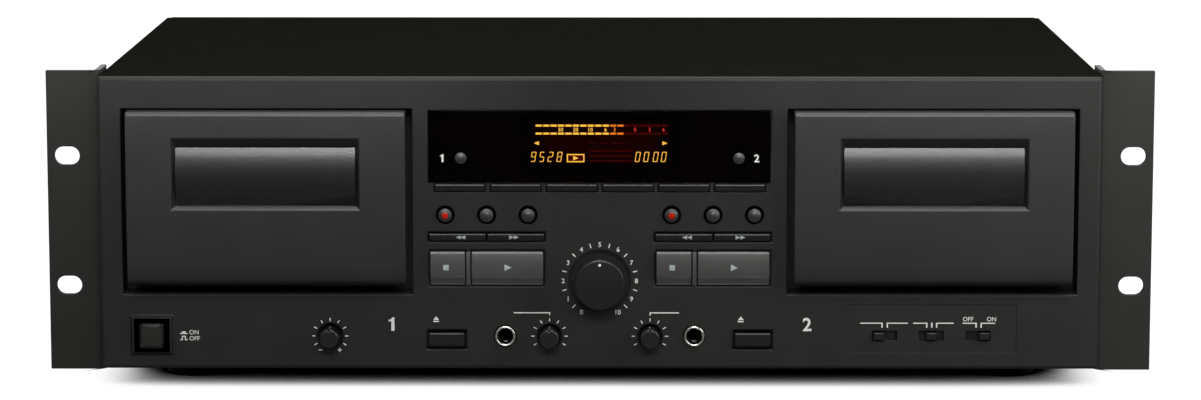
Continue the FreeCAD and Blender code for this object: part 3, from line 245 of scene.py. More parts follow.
def skin_of(name, **values):
    """Material with one principled shader; its plain numbers are set on its own sockets."""
    material, tree, output = blank_material(name)
    skin = shader(tree, "ShaderNodeBsdfPrincipled")
    for socket, value in values.items():
        skin.inputs[socket.replace("_", " ")].default_value = value
    tree.links.new(skin.outputs[0], output.inputs["Surface"])
    return material, tree, skin


def mottled(tree, skin, colour, spread, scale, rough, rough_spread):
    """Colour and roughness that drift a little over the surface with soft noise."""
    place = shader(tree, "ShaderNodeTexCoord").outputs["Object"]
    cloud = shader(tree, "ShaderNodeTexNoise", {"Vector": place}, Scale=scale, Detail=4.0)
    tones = shader(tree, "ShaderNodeValToRGB", {"Fac": cloud.outputs["Fac"]})
    tones.color_ramp.elements[0].position, tones.color_ramp.elements[1].position = 0.3, 0.7
    for stop, share in zip(tones.color_ramp.elements, (1 - spread, 1 + spread)):
        stop.color = (*[channel * share for channel in colour], 1)
    tree.links.new(tones.outputs["Color"], skin.inputs["Base Color"])
    rub = ramp(tree, cloud.outputs["Fac"], 0.0, 1.0, rough - rough_spread, rough + rough_spread)
    tree.links.new(rub, skin.inputs["Roughness"])
    return place


def grained(tree, skin, place, scale, depth, strength):
    """Fine raised grain: noise of that many cells a metre, that deep in metres."""
    cells = shader(tree, "ShaderNodeTexNoise", {"Vector": place}, Scale=scale, Detail=2.0)
    relief = shader(tree, "ShaderNodeBump", {"Height": cells.outputs["Fac"]},
                    Strength=strength, Distance=depth)
    tree.links.new(relief.outputs["Normal"], skin.inputs["Normal"])


def moulded(name, colour, rough=0.45, gloss=0.25, grain=2400, depth=0.00003, strength=0.3):
    """Moulded plastic or paint: slightly uneven tone, satin skin and a fine grain."""
    material, tree, skin = skin_of(name, Specular_IOR_Level=gloss)
    place = mottled(tree, skin, colour, 0.07, 55, rough, 0.04)
    grained(tree, skin, place, grain, depth, strength)
    return material


def dress(piece, body, material):
    """Give a piece its material and the body that carries it."""
    piece.data.materials.clear()
    piece.data.materials.append(material)
    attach(piece, body)
    return piece


def measured(points):
    """Metres in the frame, as millimetres from the middle of the panel's face and lower edge."""
    return np.asarray(points, float) / MM - origin


def merged(node, across=(), back=(), up=()):
    """Copy of a solid with its triangles joined into faces, cut at planes through its holes."""
    form = bmesh.new()
    form.from_mesh(frame["nodes"][node].data)
    bmesh.ops.remove_doubles(form, verts=form.verts, dist=0.002 * MM)
    for axis, places in enumerate((across, back, up)):
        normal = np.eye(3)[axis]
        for place in places:
            cut = bmesh.ops.bisect_plane(
                form, geom=form.verts[:] + form.edges[:] + form.faces[:], dist=0.02 * MM,
                plane_co=normal * framed(np.full(3, place)), plane_no=normal)
            for item in cut["geom_cut"]:
                if isinstance(item, bmesh.types.BMEdge):
                    item.seam = True
    bmesh.ops.dissolve_limit(form, angle_limit=math.radians(0.3), verts=form.verts,
                             edges=form.edges, delimit={"SEAM"})
    return form


def middle_of(node):
    """Middle of a node's box, in millimetres on the panel's own axes."""
    low, high = np.array(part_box(node), float)
    return measured((low + high) / 2)


def eased(node, slot, material, edge, form=None, share=None, **cuts):
    """The solid with its sharp edges rounded by edge millimetres, in place of its node.

    share gives the part of the radius at an edge whose middle is at (across, back, up).
    """
    if form is None:
        cuts.setdefault("across", [middle_of(node)[0]])
        form = merged(node, **cuts)
    crease = math.radians(28)
    weight = form.edges.layers.float.new("bevel_weight_edge")
    for line in form.edges:
        if line.calc_face_angle(0) > crease:
            middle = measured((line.verts[0].co + line.verts[1].co) / 2)
            line[weight] = share(*middle) if share else 1
    mesh = bpy.data.meshes.new(node + "_finished")
    form.to_mesh(mesh)
    form.free()
    mesh.polygons.foreach_set("use_smooth", [True] * len(mesh.polygons))
    mesh.set_sharp_from_angle(angle=crease)
    piece = link(bpy.data.objects.new(node + "_finished", mesh))
    rounding = piece.modifiers.new("edges", "BEVEL")
    rounding.width, rounding.segments, rounding.limit_method = edge * MM, 2, "WEIGHT"
    rounding.use_clamp_overlap = False
    flat_faces = piece.modifiers.new("flat faces", "WEIGHTED_NORMAL")
    flat_faces.keep_sharp = True
    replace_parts(piece, node)
    return dress(piece, body_of[node], material)


jack_side, level_height, round_height, reset_height = 41.2, 39.0, 67.9, 92.9
group_side, round_pitch, door_side, switch_pitch = 49.2, 18.0, 144.6, 20.4
small_knob_side, pitch_knob_side, power_side = 21.9, -117.7, -195.5


def panel_edge(across, back, up):
    """Wide at the key openings, narrow at the thin webs, none behind the panel."""
    side, from_well = abs(across), abs(abs(across) - door_side)
    in_well = from_well < 64 and 33 < up < 115 and back < 12
    web_under_strip_keys = 81.0 < up < 82.5 and side < 74
    if back > 2.0 and not in_well or web_under_strip_keys:
        return 0
    slide_switch_field = abs(across - door_side) < 38 and 6 < up < 30
    if slide_switch_field:
        return 0.15
    top_edge, on_face = up > 127, back < 0.5
    foot_of_well = up < 34 and from_well < 62
    key_opening = 23 < side < 83 and 36 < up < 61 or 57 < side < 76 and up < 18
    return 1 if top_edge or on_face and (foot_of_well or key_opening) else 0.42


hole_middles = [sign * place for sign in (-1, 1) for place in
                (small_knob_side, group_side - round_pitch, jack_side, group_side,
                 group_side + round_pitch, door_side)]
hole_middles += [power_side, pitch_knob_side, 0.0, door_side - switch_pitch,
                 door_side + switch_pitch]
panel_plastic = moulded("panel_plastic", (0.0175, 0.0175, 0.0165), rough=0.5, gloss=0.22)
panel_round = 0.8
fascia = eased("front_panel", "panel", panel_plastic, panel_round, share=panel_edge,
               across=hole_middles)

# Rack ears: two folded steel brackets in fine black powder coat, with round-ended bolt slots.
# Two screws through the inner leaf of each hold it to the side of the deck.

ear_coat = moulded("ear_coat", (0.0185, 0.0185, 0.0165), rough=0.55, gloss=0.22, grain=3600,
                   depth=0.00004, strength=0.5)
slot_side, fold_side = 232.55, 218.2
ear_screw_heights = (24.0, 105.6)
eased("rack_ears", "ears", ear_coat, 1.8, across=(-slot_side, slot_side), up=ear_screw_heights,
      share=lambda across, back, up: 1 if abs(across) < fold_side and back < 10 else 0.16)

# Top cover: sheet folded over top and sides in rough black paint.  Under it lies a zinc-plated
# chassis tray on four rubber feet; black pan-head screws hold ears, cover and tray together.

cover_paint = moulded("cover_paint", (0.0066, 0.0068, 0.0052), rough=0.8, gloss=0.0,
                      grain=3000, depth=0.00004, strength=0.5)
side_screw_depths, panel_top = (28.3, 119.0, 225.0), 128.2
eased("top_cover", "cover", cover_paint, 0.2, back=side_screw_depths)


def zoned(piece, choices):
    """Give each face the first material whose rule holds at its middle (across, back, up)."""
    for material, _ in choices:
        piece.data.materials.append(material)
    for face in piece.data.polygons:
        middle = measured(face.center)
        held = [number for number, (_, rule) in enumerate(choices, 1) if rule(*middle)]
        face.material_index = held[0] if held else 0
    return piece


# The panel's top face behind its rounded edge takes the cover's near-black paint: painted shade
# that keeps it as dark as the cover beside it.
zoned(fascia, [(cover_paint, lambda x, y, z: y > panel_round and z > panel_top)])


def plated(name, colour, rough):
    """Plated or bare metal with a faint cloudy tone."""
    material, tree, skin = skin_of(name, Metallic=1.0)
    place = mottled(tree, skin, colour, 0.1, 90, rough, 0.06)
    grained(tree, skin, place, 1500, 0.00001, 0.2)
    return material


zinc = plated("zinc", (0.46, 0.46, 0.44), 0.38)
socket_side, inlet_side = 150.0, -178.0
eased("chassis", "chassis", zinc, 0.15,
      across=(socket_side - 9, socket_side + 9, inlet_side, -200.0, 0, 200.0))
rubber = moulded("rubber", (0.012, 0.012, 0.012), rough=0.75, gloss=0.2)
eased("feet", "foot", rubber, 0.3)
black_steel = plated("black_steel", (0.05, 0.05, 0.05), 0.4)
eased("screws", "screw", black_steel, 0.08)

# Cassette doors: hollow ABS mouldings with a faintly crowned face, a round lower edge about
# the hinge and a pocket with sloping walls.  Each carries a smoked lens and a cassette holder.

door_plastic = moulded("door_plastic", (0.0196, 0.0199, 0.0204), rough=0.42, gloss=0.4)
# Near black for the walls of the door pockets: painted shade.
pocket_painted_shade = moulded("pocket_painted_shade", (0.0070, 0.0072, 0.0080), rough=0.5, gloss=0.2)
door_bow = {"sag": 0.9, "top": 0.15, "foot": 0.5}
pocket_height, pocket_half_wide, pocket_half_high = 86.9, 41.5, 16.3
lens_height, lens_bulge = 85.65, 2.3
wells = (("1", -door_side), ("2", door_side))


def bow(t, sag, top=0.0, lean=0.0, foot=0.0):
    """How far a bowed face lies back at the height t, from -1 at its foot to 1 at its head.

    It is sag times the square of t - top, and lean times (1 - t) / 2, and foot times the
    square of the share of the lowest third that lies above t.
    """
    return sag * (t - top) ** 2 + lean * (1 - t) / 2 + foot * np.clip((-0.3 - t) / 0.7, 0, 1) ** 2


def sliced(form, heights):
    """Cut all faces at level planes, so that a flat face can follow a bow."""
    for height in heights:
        bmesh.ops.bisect_plane(form, geom=form.verts[:] + form.edges[:] + form.faces[:],
                               plane_co=framed((0, 0, height)), plane_no=(0, 0, 1))


def crowned(node, rows, root, cuts=(), **shape):
    """Bow a front face from top to bottom, in full at the front and not at the depth root."""
    low, high = measured(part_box(node))
    form = merged(node, across=cuts)
    sliced(form, np.linspace(low[2], high[2], rows + 2)[1:-1])
    spots = measured([vertex.co for vertex in form.verts])
    share = np.clip((root - spots[:, 1]) / (root - low[1]), 0, 1)
    t = (2 * spots[:, 2] - low[2] - high[2]) / (high[2] - low[2])
    spots[:, 1] += share * bow(t, **shape)
    for vertex, place in zip(form.verts, framed(spots)):
        vertex.co = place
    return form


for deck, side in wells:
    node = f"door_{deck}"
    door = eased(node, "door", door_plastic, 0.55,
                 crowned(node, rows=16, root=-6.0, cuts=(side,), **door_bow))
    # The pocket's inner walls, all but its floor, take a near-black shade: painted shade where
    # light from above does not reach.
    door.data.materials.append(pocket_painted_shade)
    for face in door.data.polygons:
        x, y, z = measured(face.center) - (side, 0, pocket_height)
        wall = abs(x) < pocket_half_wide and abs(z) < pocket_half_high and -7.7 < y < -5.0
        face.material_index = int(wall and face.normal.z < 0.3)

smoke, tree, skin = skin_of("smoked_acrylic", IOR=1.30, Transmission_Weight=1.0,
                            Coat_Weight=1.0, Coat_Roughness=0.44, Coat_IOR=1.42)
mottled(tree, skin, (0.11, 0.11, 0.105), 0.04, 40, 0.22, 0.01)


def tube_faces(rows, columns):
    """Quads round a closed tube of rows loops with columns points each, and both its ends."""
    index = np.arange(rows * columns).reshape(rows, columns)
    ring = np.concatenate([index, index[:, :1]], axis=1)
    corners = (ring[:-1, :-1], ring[1:, :-1], ring[1:, 1:], ring[:-1, 1:])
    faces = np.stack([corner.ravel() for corner in corners], axis=-1).tolist()
    return faces + [index[0].tolist(), index[-1].tolist()]


def lens_barrel(side, up, bulge, columns=24, rows=24):
    """Window bowed like a barrel stave, as loops from its left to its right end.

    At height t, from -1 to 1, the face stands bulge times (1 - t squared) out of the pocket's
    floor.
    """
    half_wide, half_high, floor, back = 38.9, 12.45, -5.6, -4.2
    t = np.linspace(-1, 1, rows)
    y = np.concatenate([floor - bulge * (1 - t ** 2), [back, back]])
    z = up + half_high * np.concatenate([t, [1, -1]])
    x = side + np.linspace(-1, 1, columns)[:, None] * np.full(len(y), half_wide)
    return np.stack([x, np.broadcast_to(y, x.shape), np.broadcast_to(z, x.shape)], axis=-1)


for deck, side in wells:
    barrel = lens_barrel(side, lens_height, lens_bulge)
    pane = mesh_object(f"door_lens_{deck}", framed(barrel), tube_faces(*barrel.shape[:2]))
    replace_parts(pane, f"door_window_{deck}")
    dress(pane, f"door_{deck}", smoke)

holder_plastic = moulded("holder_plastic", (0.016, 0.016, 0.016), rough=0.5, gloss=0.2)
for deck in "12":
    eased(f"cassette_holder_{deck}", "holder", holder_plastic, 0.12)

# Tape transports: a pressed steel frame in dark paint closes each well.  Black acetal spindles
# stand on it, an alloy head rides up on its carriage, and a turned flywheel drives the capstan.

frame_coat = moulded("frame_coat", (0.030, 0.030, 0.029), rough=0.45, gloss=0.3)
hub_side, capstan_side, carriage_foot = 21.25, 26.5, 45
hub_places = [side + place for _, side in wells for place in (-hub_side, hub_side)]
capstan_places = [side + capstan_side for _, side in wells]
eased("transport_frames", "frame", frame_coat, 0.1,
      across=(-door_side, door_side, *hub_places, *capstan_places))
acetal = moulded("black_acetal", (0.022, 0.022, 0.022), rough=0.3, gloss=0.4, strength=0.1)
alloy = plated("head_alloy", (0.62, 0.61, 0.58), 0.25)
turned_alloy = plated("turned_alloy", (0.66, 0.66, 0.64), 0.3)
for deck in "12":
    eased(f"supply_spindle_{deck}", "spindle", acetal, 0.12)
    eased(f"takeup_spindle_{deck}", "spindle", acetal, 0.12)
    zoned(eased(f"head_carriage_{deck}", "head", alloy, 0.12),
          [(frame_coat, lambda x, y, z: z < carriage_foot)])
    eased(f"capstan_flywheel_{deck}", "flywheel", turned_alloy, 0.2)

# Display: a moulded acrylic lens, gloss and dark red, is set flush in the panel.  The vacuum
# tube behind it shows two level meters, two tape counters and the sign of the running deck.

display_lens, tree, skin = skin_of("display_lens", IOR=1.12, Transmission_Weight=1.0)
mottled(tree, skin, (0.20, 0.08, 0.07), 0.04, 40, 0.012, 0.004)
reset_side, window_top, window_right = 60.3, 113.55, 74.1
bright_edge = moulded("display_edge", (0.03, 0.03, 0.03), rough=0.3, gloss=0.9, strength=0.1)
zoned(eased("display_window", "display", display_lens, 0.1, across=(-reset_side, 0, reset_side)),
      [(bright_edge, lambda x, y, z: (z > window_top or x > window_right) and y < 0.5)])


def bar(left, low, right, high):
    """One flat rectangle as corners across and up, with its face."""
    return np.array([(left, low), (right, low), (right, high), (left, high)], float), [[0, 1, 2, 3]]


def flat_shape(*corners):
    """One flat face from its corners (across, up)."""
    return np.array(corners, float), [list(range(len(corners)))]


def layer(name, shapes, depth, body, material, thick=0.03):
    """Thin film of flat shapes, whose corners are given across and up.

    depth is a number, or a function that gives the depths at an array of heights.
    """
    starts = np.cumsum([0] + [len(corners) for corners, _ in shapes])
    flat = np.concatenate([corners for corners, _ in shapes])
    faces = [[index + int(start) for index in face]
             for start, (_, loops) in zip(starts, shapes) for face in loops]
    level = 0.0 if callable(depth) else depth
    points = framed(np.stack([flat[:, 0], np.full(len(flat), level), flat[:, 1]], axis=-1))
    piece = mesh_object(name, points, faces, crease=None)
    if callable(depth):
        form = bmesh.new()
        form.from_mesh(piece.data)
        sliced(form, np.arange(flat[:, 1].min(), flat[:, 1].max(), 0.25)[1:])
        form.to_mesh(piece.data)
        form.free()
        spots = np.empty(3 * len(piece.data.vertices))
        piece.data.vertices.foreach_get("co", spots)
        spots = measured(spots.reshape(-1, 3))
        spots[:, 1] = depth(spots[:, 2])
        piece.data.vertices.foreach_set("co", framed(spots).ravel())
    film = piece.modifiers.new("film", "SOLIDIFY")
    film.thickness, film.offset = thick * MM, -1
    return dress(piece, body, material)


def lit(name, colour, strength):
    """Phosphor that glows evenly with a trace of unevenness; also the faint painted glow of unlit
    segments and of the tube's filter.
    """
    material, tree, skin = skin_of(name, Roughness=0.5, Specular_IOR_Level=0.0,
                                   Base_Color=(0.01, 0.004, 0.003, 1))
    place = shader(tree, "ShaderNodeTexCoord").outputs["Object"]
    cloud = shader(tree, "ShaderNodeTexNoise", {"Vector": place}, Scale=900, Detail=1.0)
    tones = shader(tree, "ShaderNodeValToRGB", {"Fac": cloud.outputs["Fac"]})
    for stop, share in zip(tones.color_ramp.elements, (0.85, 1.0)):
        stop.color = (*[channel * share for channel in colour], 1)
    tree.links.new(tones.outputs["Color"], skin.inputs["Emission Color"])
    skin.inputs["Emission Strength"].default_value = strength
    return material


amber = lit("amber_phosphor", (0.76, 1.0, 0.15), 7.4)
orange = lit("orange_phosphor", (1.0, 0.62, 0.08), 4.0)
red = lit("red_phosphor", (1.0, 0.14, 0.10), 3.2)
# The unlit segments and the tube's red filter glow faintly: painted glow in place of the light they
# would only reflect through the lens.
unlit_painted_glow = lit("unlit_phosphor_painted_glow", (0.55, 0.05, 0.02), 0.5)
tube_painted_glow = lit("tube_filter_painted_glow", (0.30, 0.012, 0.004), 0.12)
tree = tube_painted_glow.node_tree
place = shader(tree, "ShaderNodeTexCoord").outputs["Object"]
place = shader(tree, "ShaderNodeSeparateXYZ", {"Vector": place}).outputs
fades = []
for axis, middle, half, soft, full in ((0, 0.0, 33.0, 14.0, 1.0), (2, 99.0, 12.0, 9.0, 0.12)):
    away = maths(tree, "ABSOLUTE",
                 maths(tree, "SUBTRACT", place[axis], framed((0, 0, middle))[axis]))
    fades.append(ramp(tree, away, (half - soft) * MM, half * MM, full, 0.0, "SMOOTHSTEP"))
tree.links.new(maths(tree, "MULTIPLY", *fades),
               tree.nodes["Principled BSDF"].inputs["Emission Strength"])

SEGMENTS = {"0": "abcdef", "2": "abged", "5": "afgcd", "8": "abcdefg", "9": "abcdfg"}


def counter_digit(sign, left, low, wide=2.1, high=4.4, thick=0.34, lean=0.16):
    """Seven-segment digit: bars that lean to the right, at the named places of a sign."""
    middle, gap = high / 2, 0.12
    bars = {"a": (thick, high - thick, wide - thick, high), "d": (thick, 0, wide - thick, thick),
            "g": (thick, middle - thick / 2, wide - thick, middle + thick / 2),
            "f": (0, middle + gap, thick, high - gap), "e": (0, gap, thick, middle - gap),
            "b": (wide - thick, middle + gap, wide, high - gap),
            "c": (wide - thick, gap, wide, middle - gap)}
    shapes = []
    for name in SEGMENTS[sign]:
        corners, face = bar(*bars[name])
        corners[:, 0] += lean * corners[:, 1] + left
        corners[:, 1] += low
        shapes.append((corners, face))
    return shapes


def letters(text, x, z, high, heavy, anchor=0.5):
    """Line of text as flat faces, its capitals high millimetres tall.

    It starts x less anchor times its width, and its feet are high / 2 below z.
    """
    curve = bpy.data.curves.new("letters", "FONT")
    curve.body, curve.offset = text, heavy
    holder = bpy.data.objects.new("letters", curve)
    mesh = bpy.data.meshes.new_from_object(holder)
    flat = np.array([vertex.co[:2] for vertex in mesh.vertices])
    faces = [list(face.vertices) for face in mesh.polygons]
    for item, shelf in ((holder, bpy.data.objects), (mesh, bpy.data.meshes),
                        (curve, bpy.data.curves)):
        shelf.remove(item)
    flat *= high / np.ptp(flat[:, 1])
    flat -= (flat[:, 0].min() + anchor * np.ptp(flat[:, 0]), flat[:, 1].min())
    return flat + (x, z - high / 2), faces


bar_heights = (106.4, 102.9)
bar_left, bar_pitch, bar_wide, bar_high = -27.93, 3.236, 2.69, 0.88


def meter_bars(first, last):
    """Bars of both meters from one number to another, counted from the left."""
    return [bar(bar_left + bar_pitch * step, height - bar_high / 2,
                bar_left + bar_pitch * step + bar_wide, height + bar_high / 2)
            for height in bar_heights for step in range(first, last)]


def scale_numbers(*marks):
    """Numbers between the meters, each given as its text and its place across."""
    return [letters(text, x, 104.65, 1.7, 0.012) for text, x in marks]


glow_depth, full_film, thin_film = 5.9, 0.05, 0.02
sign_height, counter_low = 98.7, 90.5
amber_shapes = meter_bars(0, 10)
amber_shapes += scale_numbers(("30", -17.07), ("20", -10.55), ("10", -4.04), ("6", 2.48))
for signs, lefts in (("9528", (-30.3, -26.6, -22.9, -19.0)), ("0000", (15.1, 18.8, 22.9, 26.4))):
    for sign, left in zip(signs, lefts):
        amber_shapes += counter_digit(sign, left, counter_low)
amber_shapes += [flat_shape((-28.7, sign_height), (-26.5, sign_height - 0.9),
                            (-26.5, sign_height + 0.9)),
                 flat_shape((29.4, sign_height), (27.2, sign_height + 0.9),
                            (27.2, sign_height - 0.9))]
layer("display_amber", amber_shapes, glow_depth, "housing", amber, full_film)
layer("display_sign_plate", [bar(-14.4, 90.35, -6.7, 93.95)], glow_depth, "housing", amber,
      thin_film)
# The sign's unlit face glows faintly too: painted light.
layer("display_sign", [bar(-13.9, 90.85, -7.2, 93.45)], glow_depth - thin_film, "housing",
      unlit_painted_glow, thin_film)
layer("display_sign_arrow", [flat_shape((-11.6, 91.15), (-9.3, 92.15), (-11.6, 93.15))],
      glow_depth - 2 * thin_film, "housing", amber, thin_film)
layer("display_orange", meter_bars(10, 12) + scale_numbers(("3", 6.38)), glow_depth, "housing",
      orange, full_film)
layer("display_red", scale_numbers(("0", 15.29), ("3", 21.59), ("6", 27.67)), glow_depth,
      "housing", red, full_film)
# The unlit bars and dashes and the tube's front glow faintly: painted light.
dashes = [bar(x, z, x + wide, z + 0.45)
          for z, wide in ((98.5, 1.9), (95.1, 4.6), (92.9, 4.6), (90.7, 4.6))
          for x in (-4.6, 0.6, 5.8, 9.4)]
layer("display_unlit", meter_bars(12, 18) + dashes, glow_depth, "housing", unlit_painted_glow, full_film)
layer("display_tube_front", [bar(-32.4, 87.4, 32.4, 110.6)], glow_depth + 0.06, "housing",
      tube_painted_glow, 0.04)

# Keys: moulded caps with softly rounded edges.  Stop and play are wide, pale and crowned from
# top to bottom; the rest are narrow bars, domed round buttons, push keys and the power button.

pale_key = moulded("pale_key_plastic", (0.066, 0.065, 0.063), rough=0.34, gloss=0.6)
dark_key = moulded("dark_key_plastic", (0.0085, 0.0087, 0.0084), rough=0.28, gloss=0.4,
                   strength=0.12)
round_key = moulded("round_key_plastic", (0.023, 0.0235, 0.0235), rough=0.40, gloss=0.6,
                    strength=0.12)
# Near-black matt for the deep parts of the round buttons: painted shade for the dark inside their
# holes.
painted_shade_black = moulded("button_painted_shade", (0.003, 0.003, 0.003), rough=0.9, gloss=0.0)
power_key = moulded("power_key_plastic", (0.015, 0.0145, 0.0125), rough=0.4, gloss=0.4)
strip_bow = {"sag": 0.2, "lean": 0.55}
wind_bow = {"sag": 0.25, "lean": 0.7}
wide_bow = {"sag": 1.2, "top": 0.35, "foot": 1.0}
for name in ("return_to_zero_1", "dimmer", "repeat", "parallel_rec", "dub_start",
             "return_to_zero_2"):
    node = f"{name}_key"
    eased(node, "dark_key", dark_key, 0.22, crowned(node, rows=4, root=0.0, **strip_bow))
for deck in "12":
    for name in ("rewind", "fast_forward"):
        node = f"{name}_key_{deck}"
        eased(node, "dark_key", dark_key, 0.22, crowned(node, rows=4, root=0.0, **wind_bow))
    for name in ("stop", "play"):
        node = f"{name}_key_{deck}"
        eased(node, "light_key", pale_key, 0.4, crowned(node, rows=14, root=0.0, **wide_bow))
    eased(f"eject_key_{deck}", "dark_key", dark_key, 0.25)
eased("power_button", "dark_key", power_key, 0.8)


def turned(profile, across, up, count):
    """Round surface: each (depth, radius) corner is carried about the front-to-back axis."""
    depth, radius = np.array(profile, float).T
    angle = np.linspace(0, 2 * math.pi, count + 1)[:, None]
    x = across + np.cos(angle) * radius
    z = up + np.sin(angle) * radius
    return np.stack([x, np.broadcast_to(depth, x.shape), z], axis=-1)


def turned_piece(name, profile, across, up, body, material, count=56):
    """A turned surface as a piece in its material and on its body."""
    points = turned(profile, across, up, count)
    piece = mesh_object(name, framed(points), grid_faces(*points.shape[:2]))
    return dress(piece, body, material)


roll, cap_radius, cap_face, cap_dome = 0.35, 2.95, -1.5, 0.9
groups = (("1", -group_side), ("2", group_side))


def button_profile(radius, face, dome, collar, collar_face, stem=2.0, end=6.7):
    """Cap with a domed face of that rise and a rolled edge, then a collar, then a stem."""
    crown = [(face - dome * (1 - t ** 2), (radius - roll) * t) for t in np.linspace(0, 1, 10)]
    angle = np.linspace(0, math.pi / 2, 5)[1:]
    edge = [(face + roll * (1 - math.cos(turn)), radius - roll + roll * math.sin(turn))
            for turn in angle]
    return crown + edge + [(collar_face, radius), (collar_face, collar),
                           (collar_face + 1, collar), (collar_face + 1, stem), (end, stem),
                           (end, 0)]


def round_button(node, profile, across, up, shade_from):
    """Turned button in place of its node; all of it deeper than the given depth is near black,
    painted shade for the dark in its hole.
    """
    button = turned_piece(node + "_cap", profile, across, up, node, round_key)
    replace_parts(zoned(button, [(painted_shade_black, lambda x, y, z: y > shade_from)]), node)


cap_profile = button_profile(cap_radius, cap_face, cap_dome, collar=3.75, collar_face=1.5)
reset_profile = button_profile(2.5, face=-1.0, dome=0.6, collar=3.5, collar_face=2.5)
for deck, group in groups:
    for column, name in zip((-round_pitch, 0, round_pitch), ("record", "pause", "rec_mute")):
        round_button(f"{name}_button_{deck}", cap_profile, group + column, round_height, -0.6)
    round_button(f"counter_reset_button_{deck}", reset_profile,
                 math.copysign(reset_side, group), reset_height, -0.2)

# Divider between stop and play: a slim crowned rib of the same pale plastic.  It is pressed onto
# the panel's web between the two keys and stays where it is when they move.

def rib(across, wide, low, high, out, sag, top, rows=14):
    """Upright rib, its face bowed by sag times the square of t - top, t from -1 to 1."""
    t = np.linspace(-1, 1, rows)
    face = -out + sag * (t - top) ** 2
    height = (low + high) / 2 + (high - low) / 2 * t
    half = wide / 2
    x = np.array([-half, -half, -half + 0.25, half - 0.25, half, half])
    share = np.array([0, 0.85, 1, 1, 0.85, 0])
    points = np.stack([np.broadcast_to(across + x, (rows, 6)), face[:, None] * share,
                       np.broadcast_to(height[:, None], (rows, 6))], axis=-1)
    faces = grid_faces(rows, 6)
    faces += [list(range(6)), list(range(6 * rows - 6, 6 * rows))]
    return points, faces


for deck, group in groups:
    points, faces = rib(group - 8.0, wide=1.9, low=37.2, high=51.8, out=2.2, sag=1.1, top=0.35)
    divider = mesh_object(f"key_divider_{deck}", framed(points), faces)
    dress(divider, "housing", pale_key)

# Dials: three slim knobs with a pointer notch and the wide record level knob, which stands in
# a shallow dish.  They and the slide switches' levers are moulded in satin black and pushed on
# their shafts and stems.

knob_plastic = moulded("knob_plastic", (0.0072, 0.0072, 0.0068), rough=0.30, gloss=0.5,
                       strength=0.12)
lever_plastic = moulded("lever_plastic", (0.006, 0.006, 0.006), rough=0.32, gloss=0.5)
for name in ("pitch", "mic", "phones"):
    eased(f"{name}_knob", "knob", knob_plastic, 0.2)
level_profile = [(-12.44, 0), (-12.44, 10.3), (-12.38, 10.58), (-12.15, 10.8), (-11.8, 10.95),
                 (-11.4, 11.0), (-0.3, 11.0), (-0.3, 2.0), (5.7, 2.0), (5.7, 0)]
level_knob = turned_piece("rec_level_cap", level_profile, 0, level_height, "rec_level_knob",
                          knob_plastic, count=120)
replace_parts(level_knob, "rec_level_knob")
dish_profile = [(0.02, 13.55), (0.9, 12.3), (0.98, 11.2), (0.98, 3.0)]
turned_piece("level_dish", dish_profile, 0, level_height, "housing", panel_plastic,
             count=96)
for name in ("play_mode", "timer", "noise_reduction"):
    eased(f"{name}_switch", "knob", lever_plastic, 0.15)

# Jacks: nickel ring with a rolled lip in the panel, black body behind it and the bright tip
# of the contact spring at the foot of the bore.

nickel = plated("nickel", (0.62, 0.60, 0.55), 0.22)
jack_body = moulded("jack_body_plastic", (0.010, 0.010, 0.010), rough=0.4, gloss=0.3)
jack_height, bore, rim, jack_back = 14.6, 3.25, 4.75, 3.0
jacks = (("mic", -jack_side), ("phones", jack_side))


def lip(face, foot, bore, rim, count=12):
    """Half-round roll between the bore and the rim, as (depth, radius) corners."""
    angle = np.linspace(0, math.pi, count)
    middle, half = (bore + rim) / 2, (rim - bore) / 2
    return [(foot - (foot - face) * math.sin(turn), middle - half * math.cos(turn))
            for turn in angle]


ring_profile = [(jack_back, bore), *lip(-1.5, 0.0, bore, rim), (jack_back, rim),
                (jack_back, bore)]
for name, side in jacks:
    ring = turned_piece(f"{name}_jack_ring", ring_profile, side, jack_height, "housing",
                        nickel, count=72)
    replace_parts(ring, "front_jacks")


def bored_block(half, bore, front, back, count=72):
    """Square block with a round hole through it, as (depth, x, z) loops about its axis.

    The outline at an angle is half over the larger of the sine and cosine sizes, which gives
    a square with its corners on the diagonals; four loops close on themselves.
    """
    angle = np.linspace(0, 2 * math.pi, count + 1)[:, None]
    square = half / np.maximum(np.abs(np.cos(angle)), np.abs(np.sin(angle)))
    radius = np.concatenate([square * [1, 1], np.full((count + 1, 2), bore), square], axis=1)
    depth = np.broadcast_to([front, back, back, front, front], radius.shape)
    return np.stack([np.cos(angle) * radius, depth, np.sin(angle) * radius], axis=-1)


def strip(side, wide, spine, thick):
    """Bent leaf, as loops along a spine of (depth, up) points at its lower face."""
    depth, up = np.array(spine, float).T
    x = np.array([-wide, wide, wide, -wide]) / 2 + side
    z = up[:, None] + np.array([0, 0, thick, thick])
    return np.stack([np.broadcast_to(x, z.shape), np.broadcast_to(depth[:, None], z.shape), z],
                    axis=-1)


leaf_spine = [(5.0, -3.15), (8.0, -2.75), (10.5, -2.0), (11.5, -1.9), (12.5, -2.1), (24.0, -3.15)]
for name, side in jacks:
    block = bored_block(half=7.5, bore=3.2, front=jack_back, back=31.0) + [side, 0, jack_height]
    body = mesh_object(f"{name}_jack_body", framed(block), grid_faces(*block.shape[:2]))
    dress(body, "housing", jack_body)
    leaf = strip(side, 1.7, leaf_spine, 0.25) + [0, 0, jack_height]
    contact = mesh_object(f"{name}_jack_contact", framed(leaf), tube_faces(*leaf.shape[:2]))
    dress(contact, "housing", nickel)

# Rear wall: four nickel-sleeved phono sockets, each with a coloured ring round its bore on a
# black base, and a black power inlet whose three blades stand in a deep shroud.

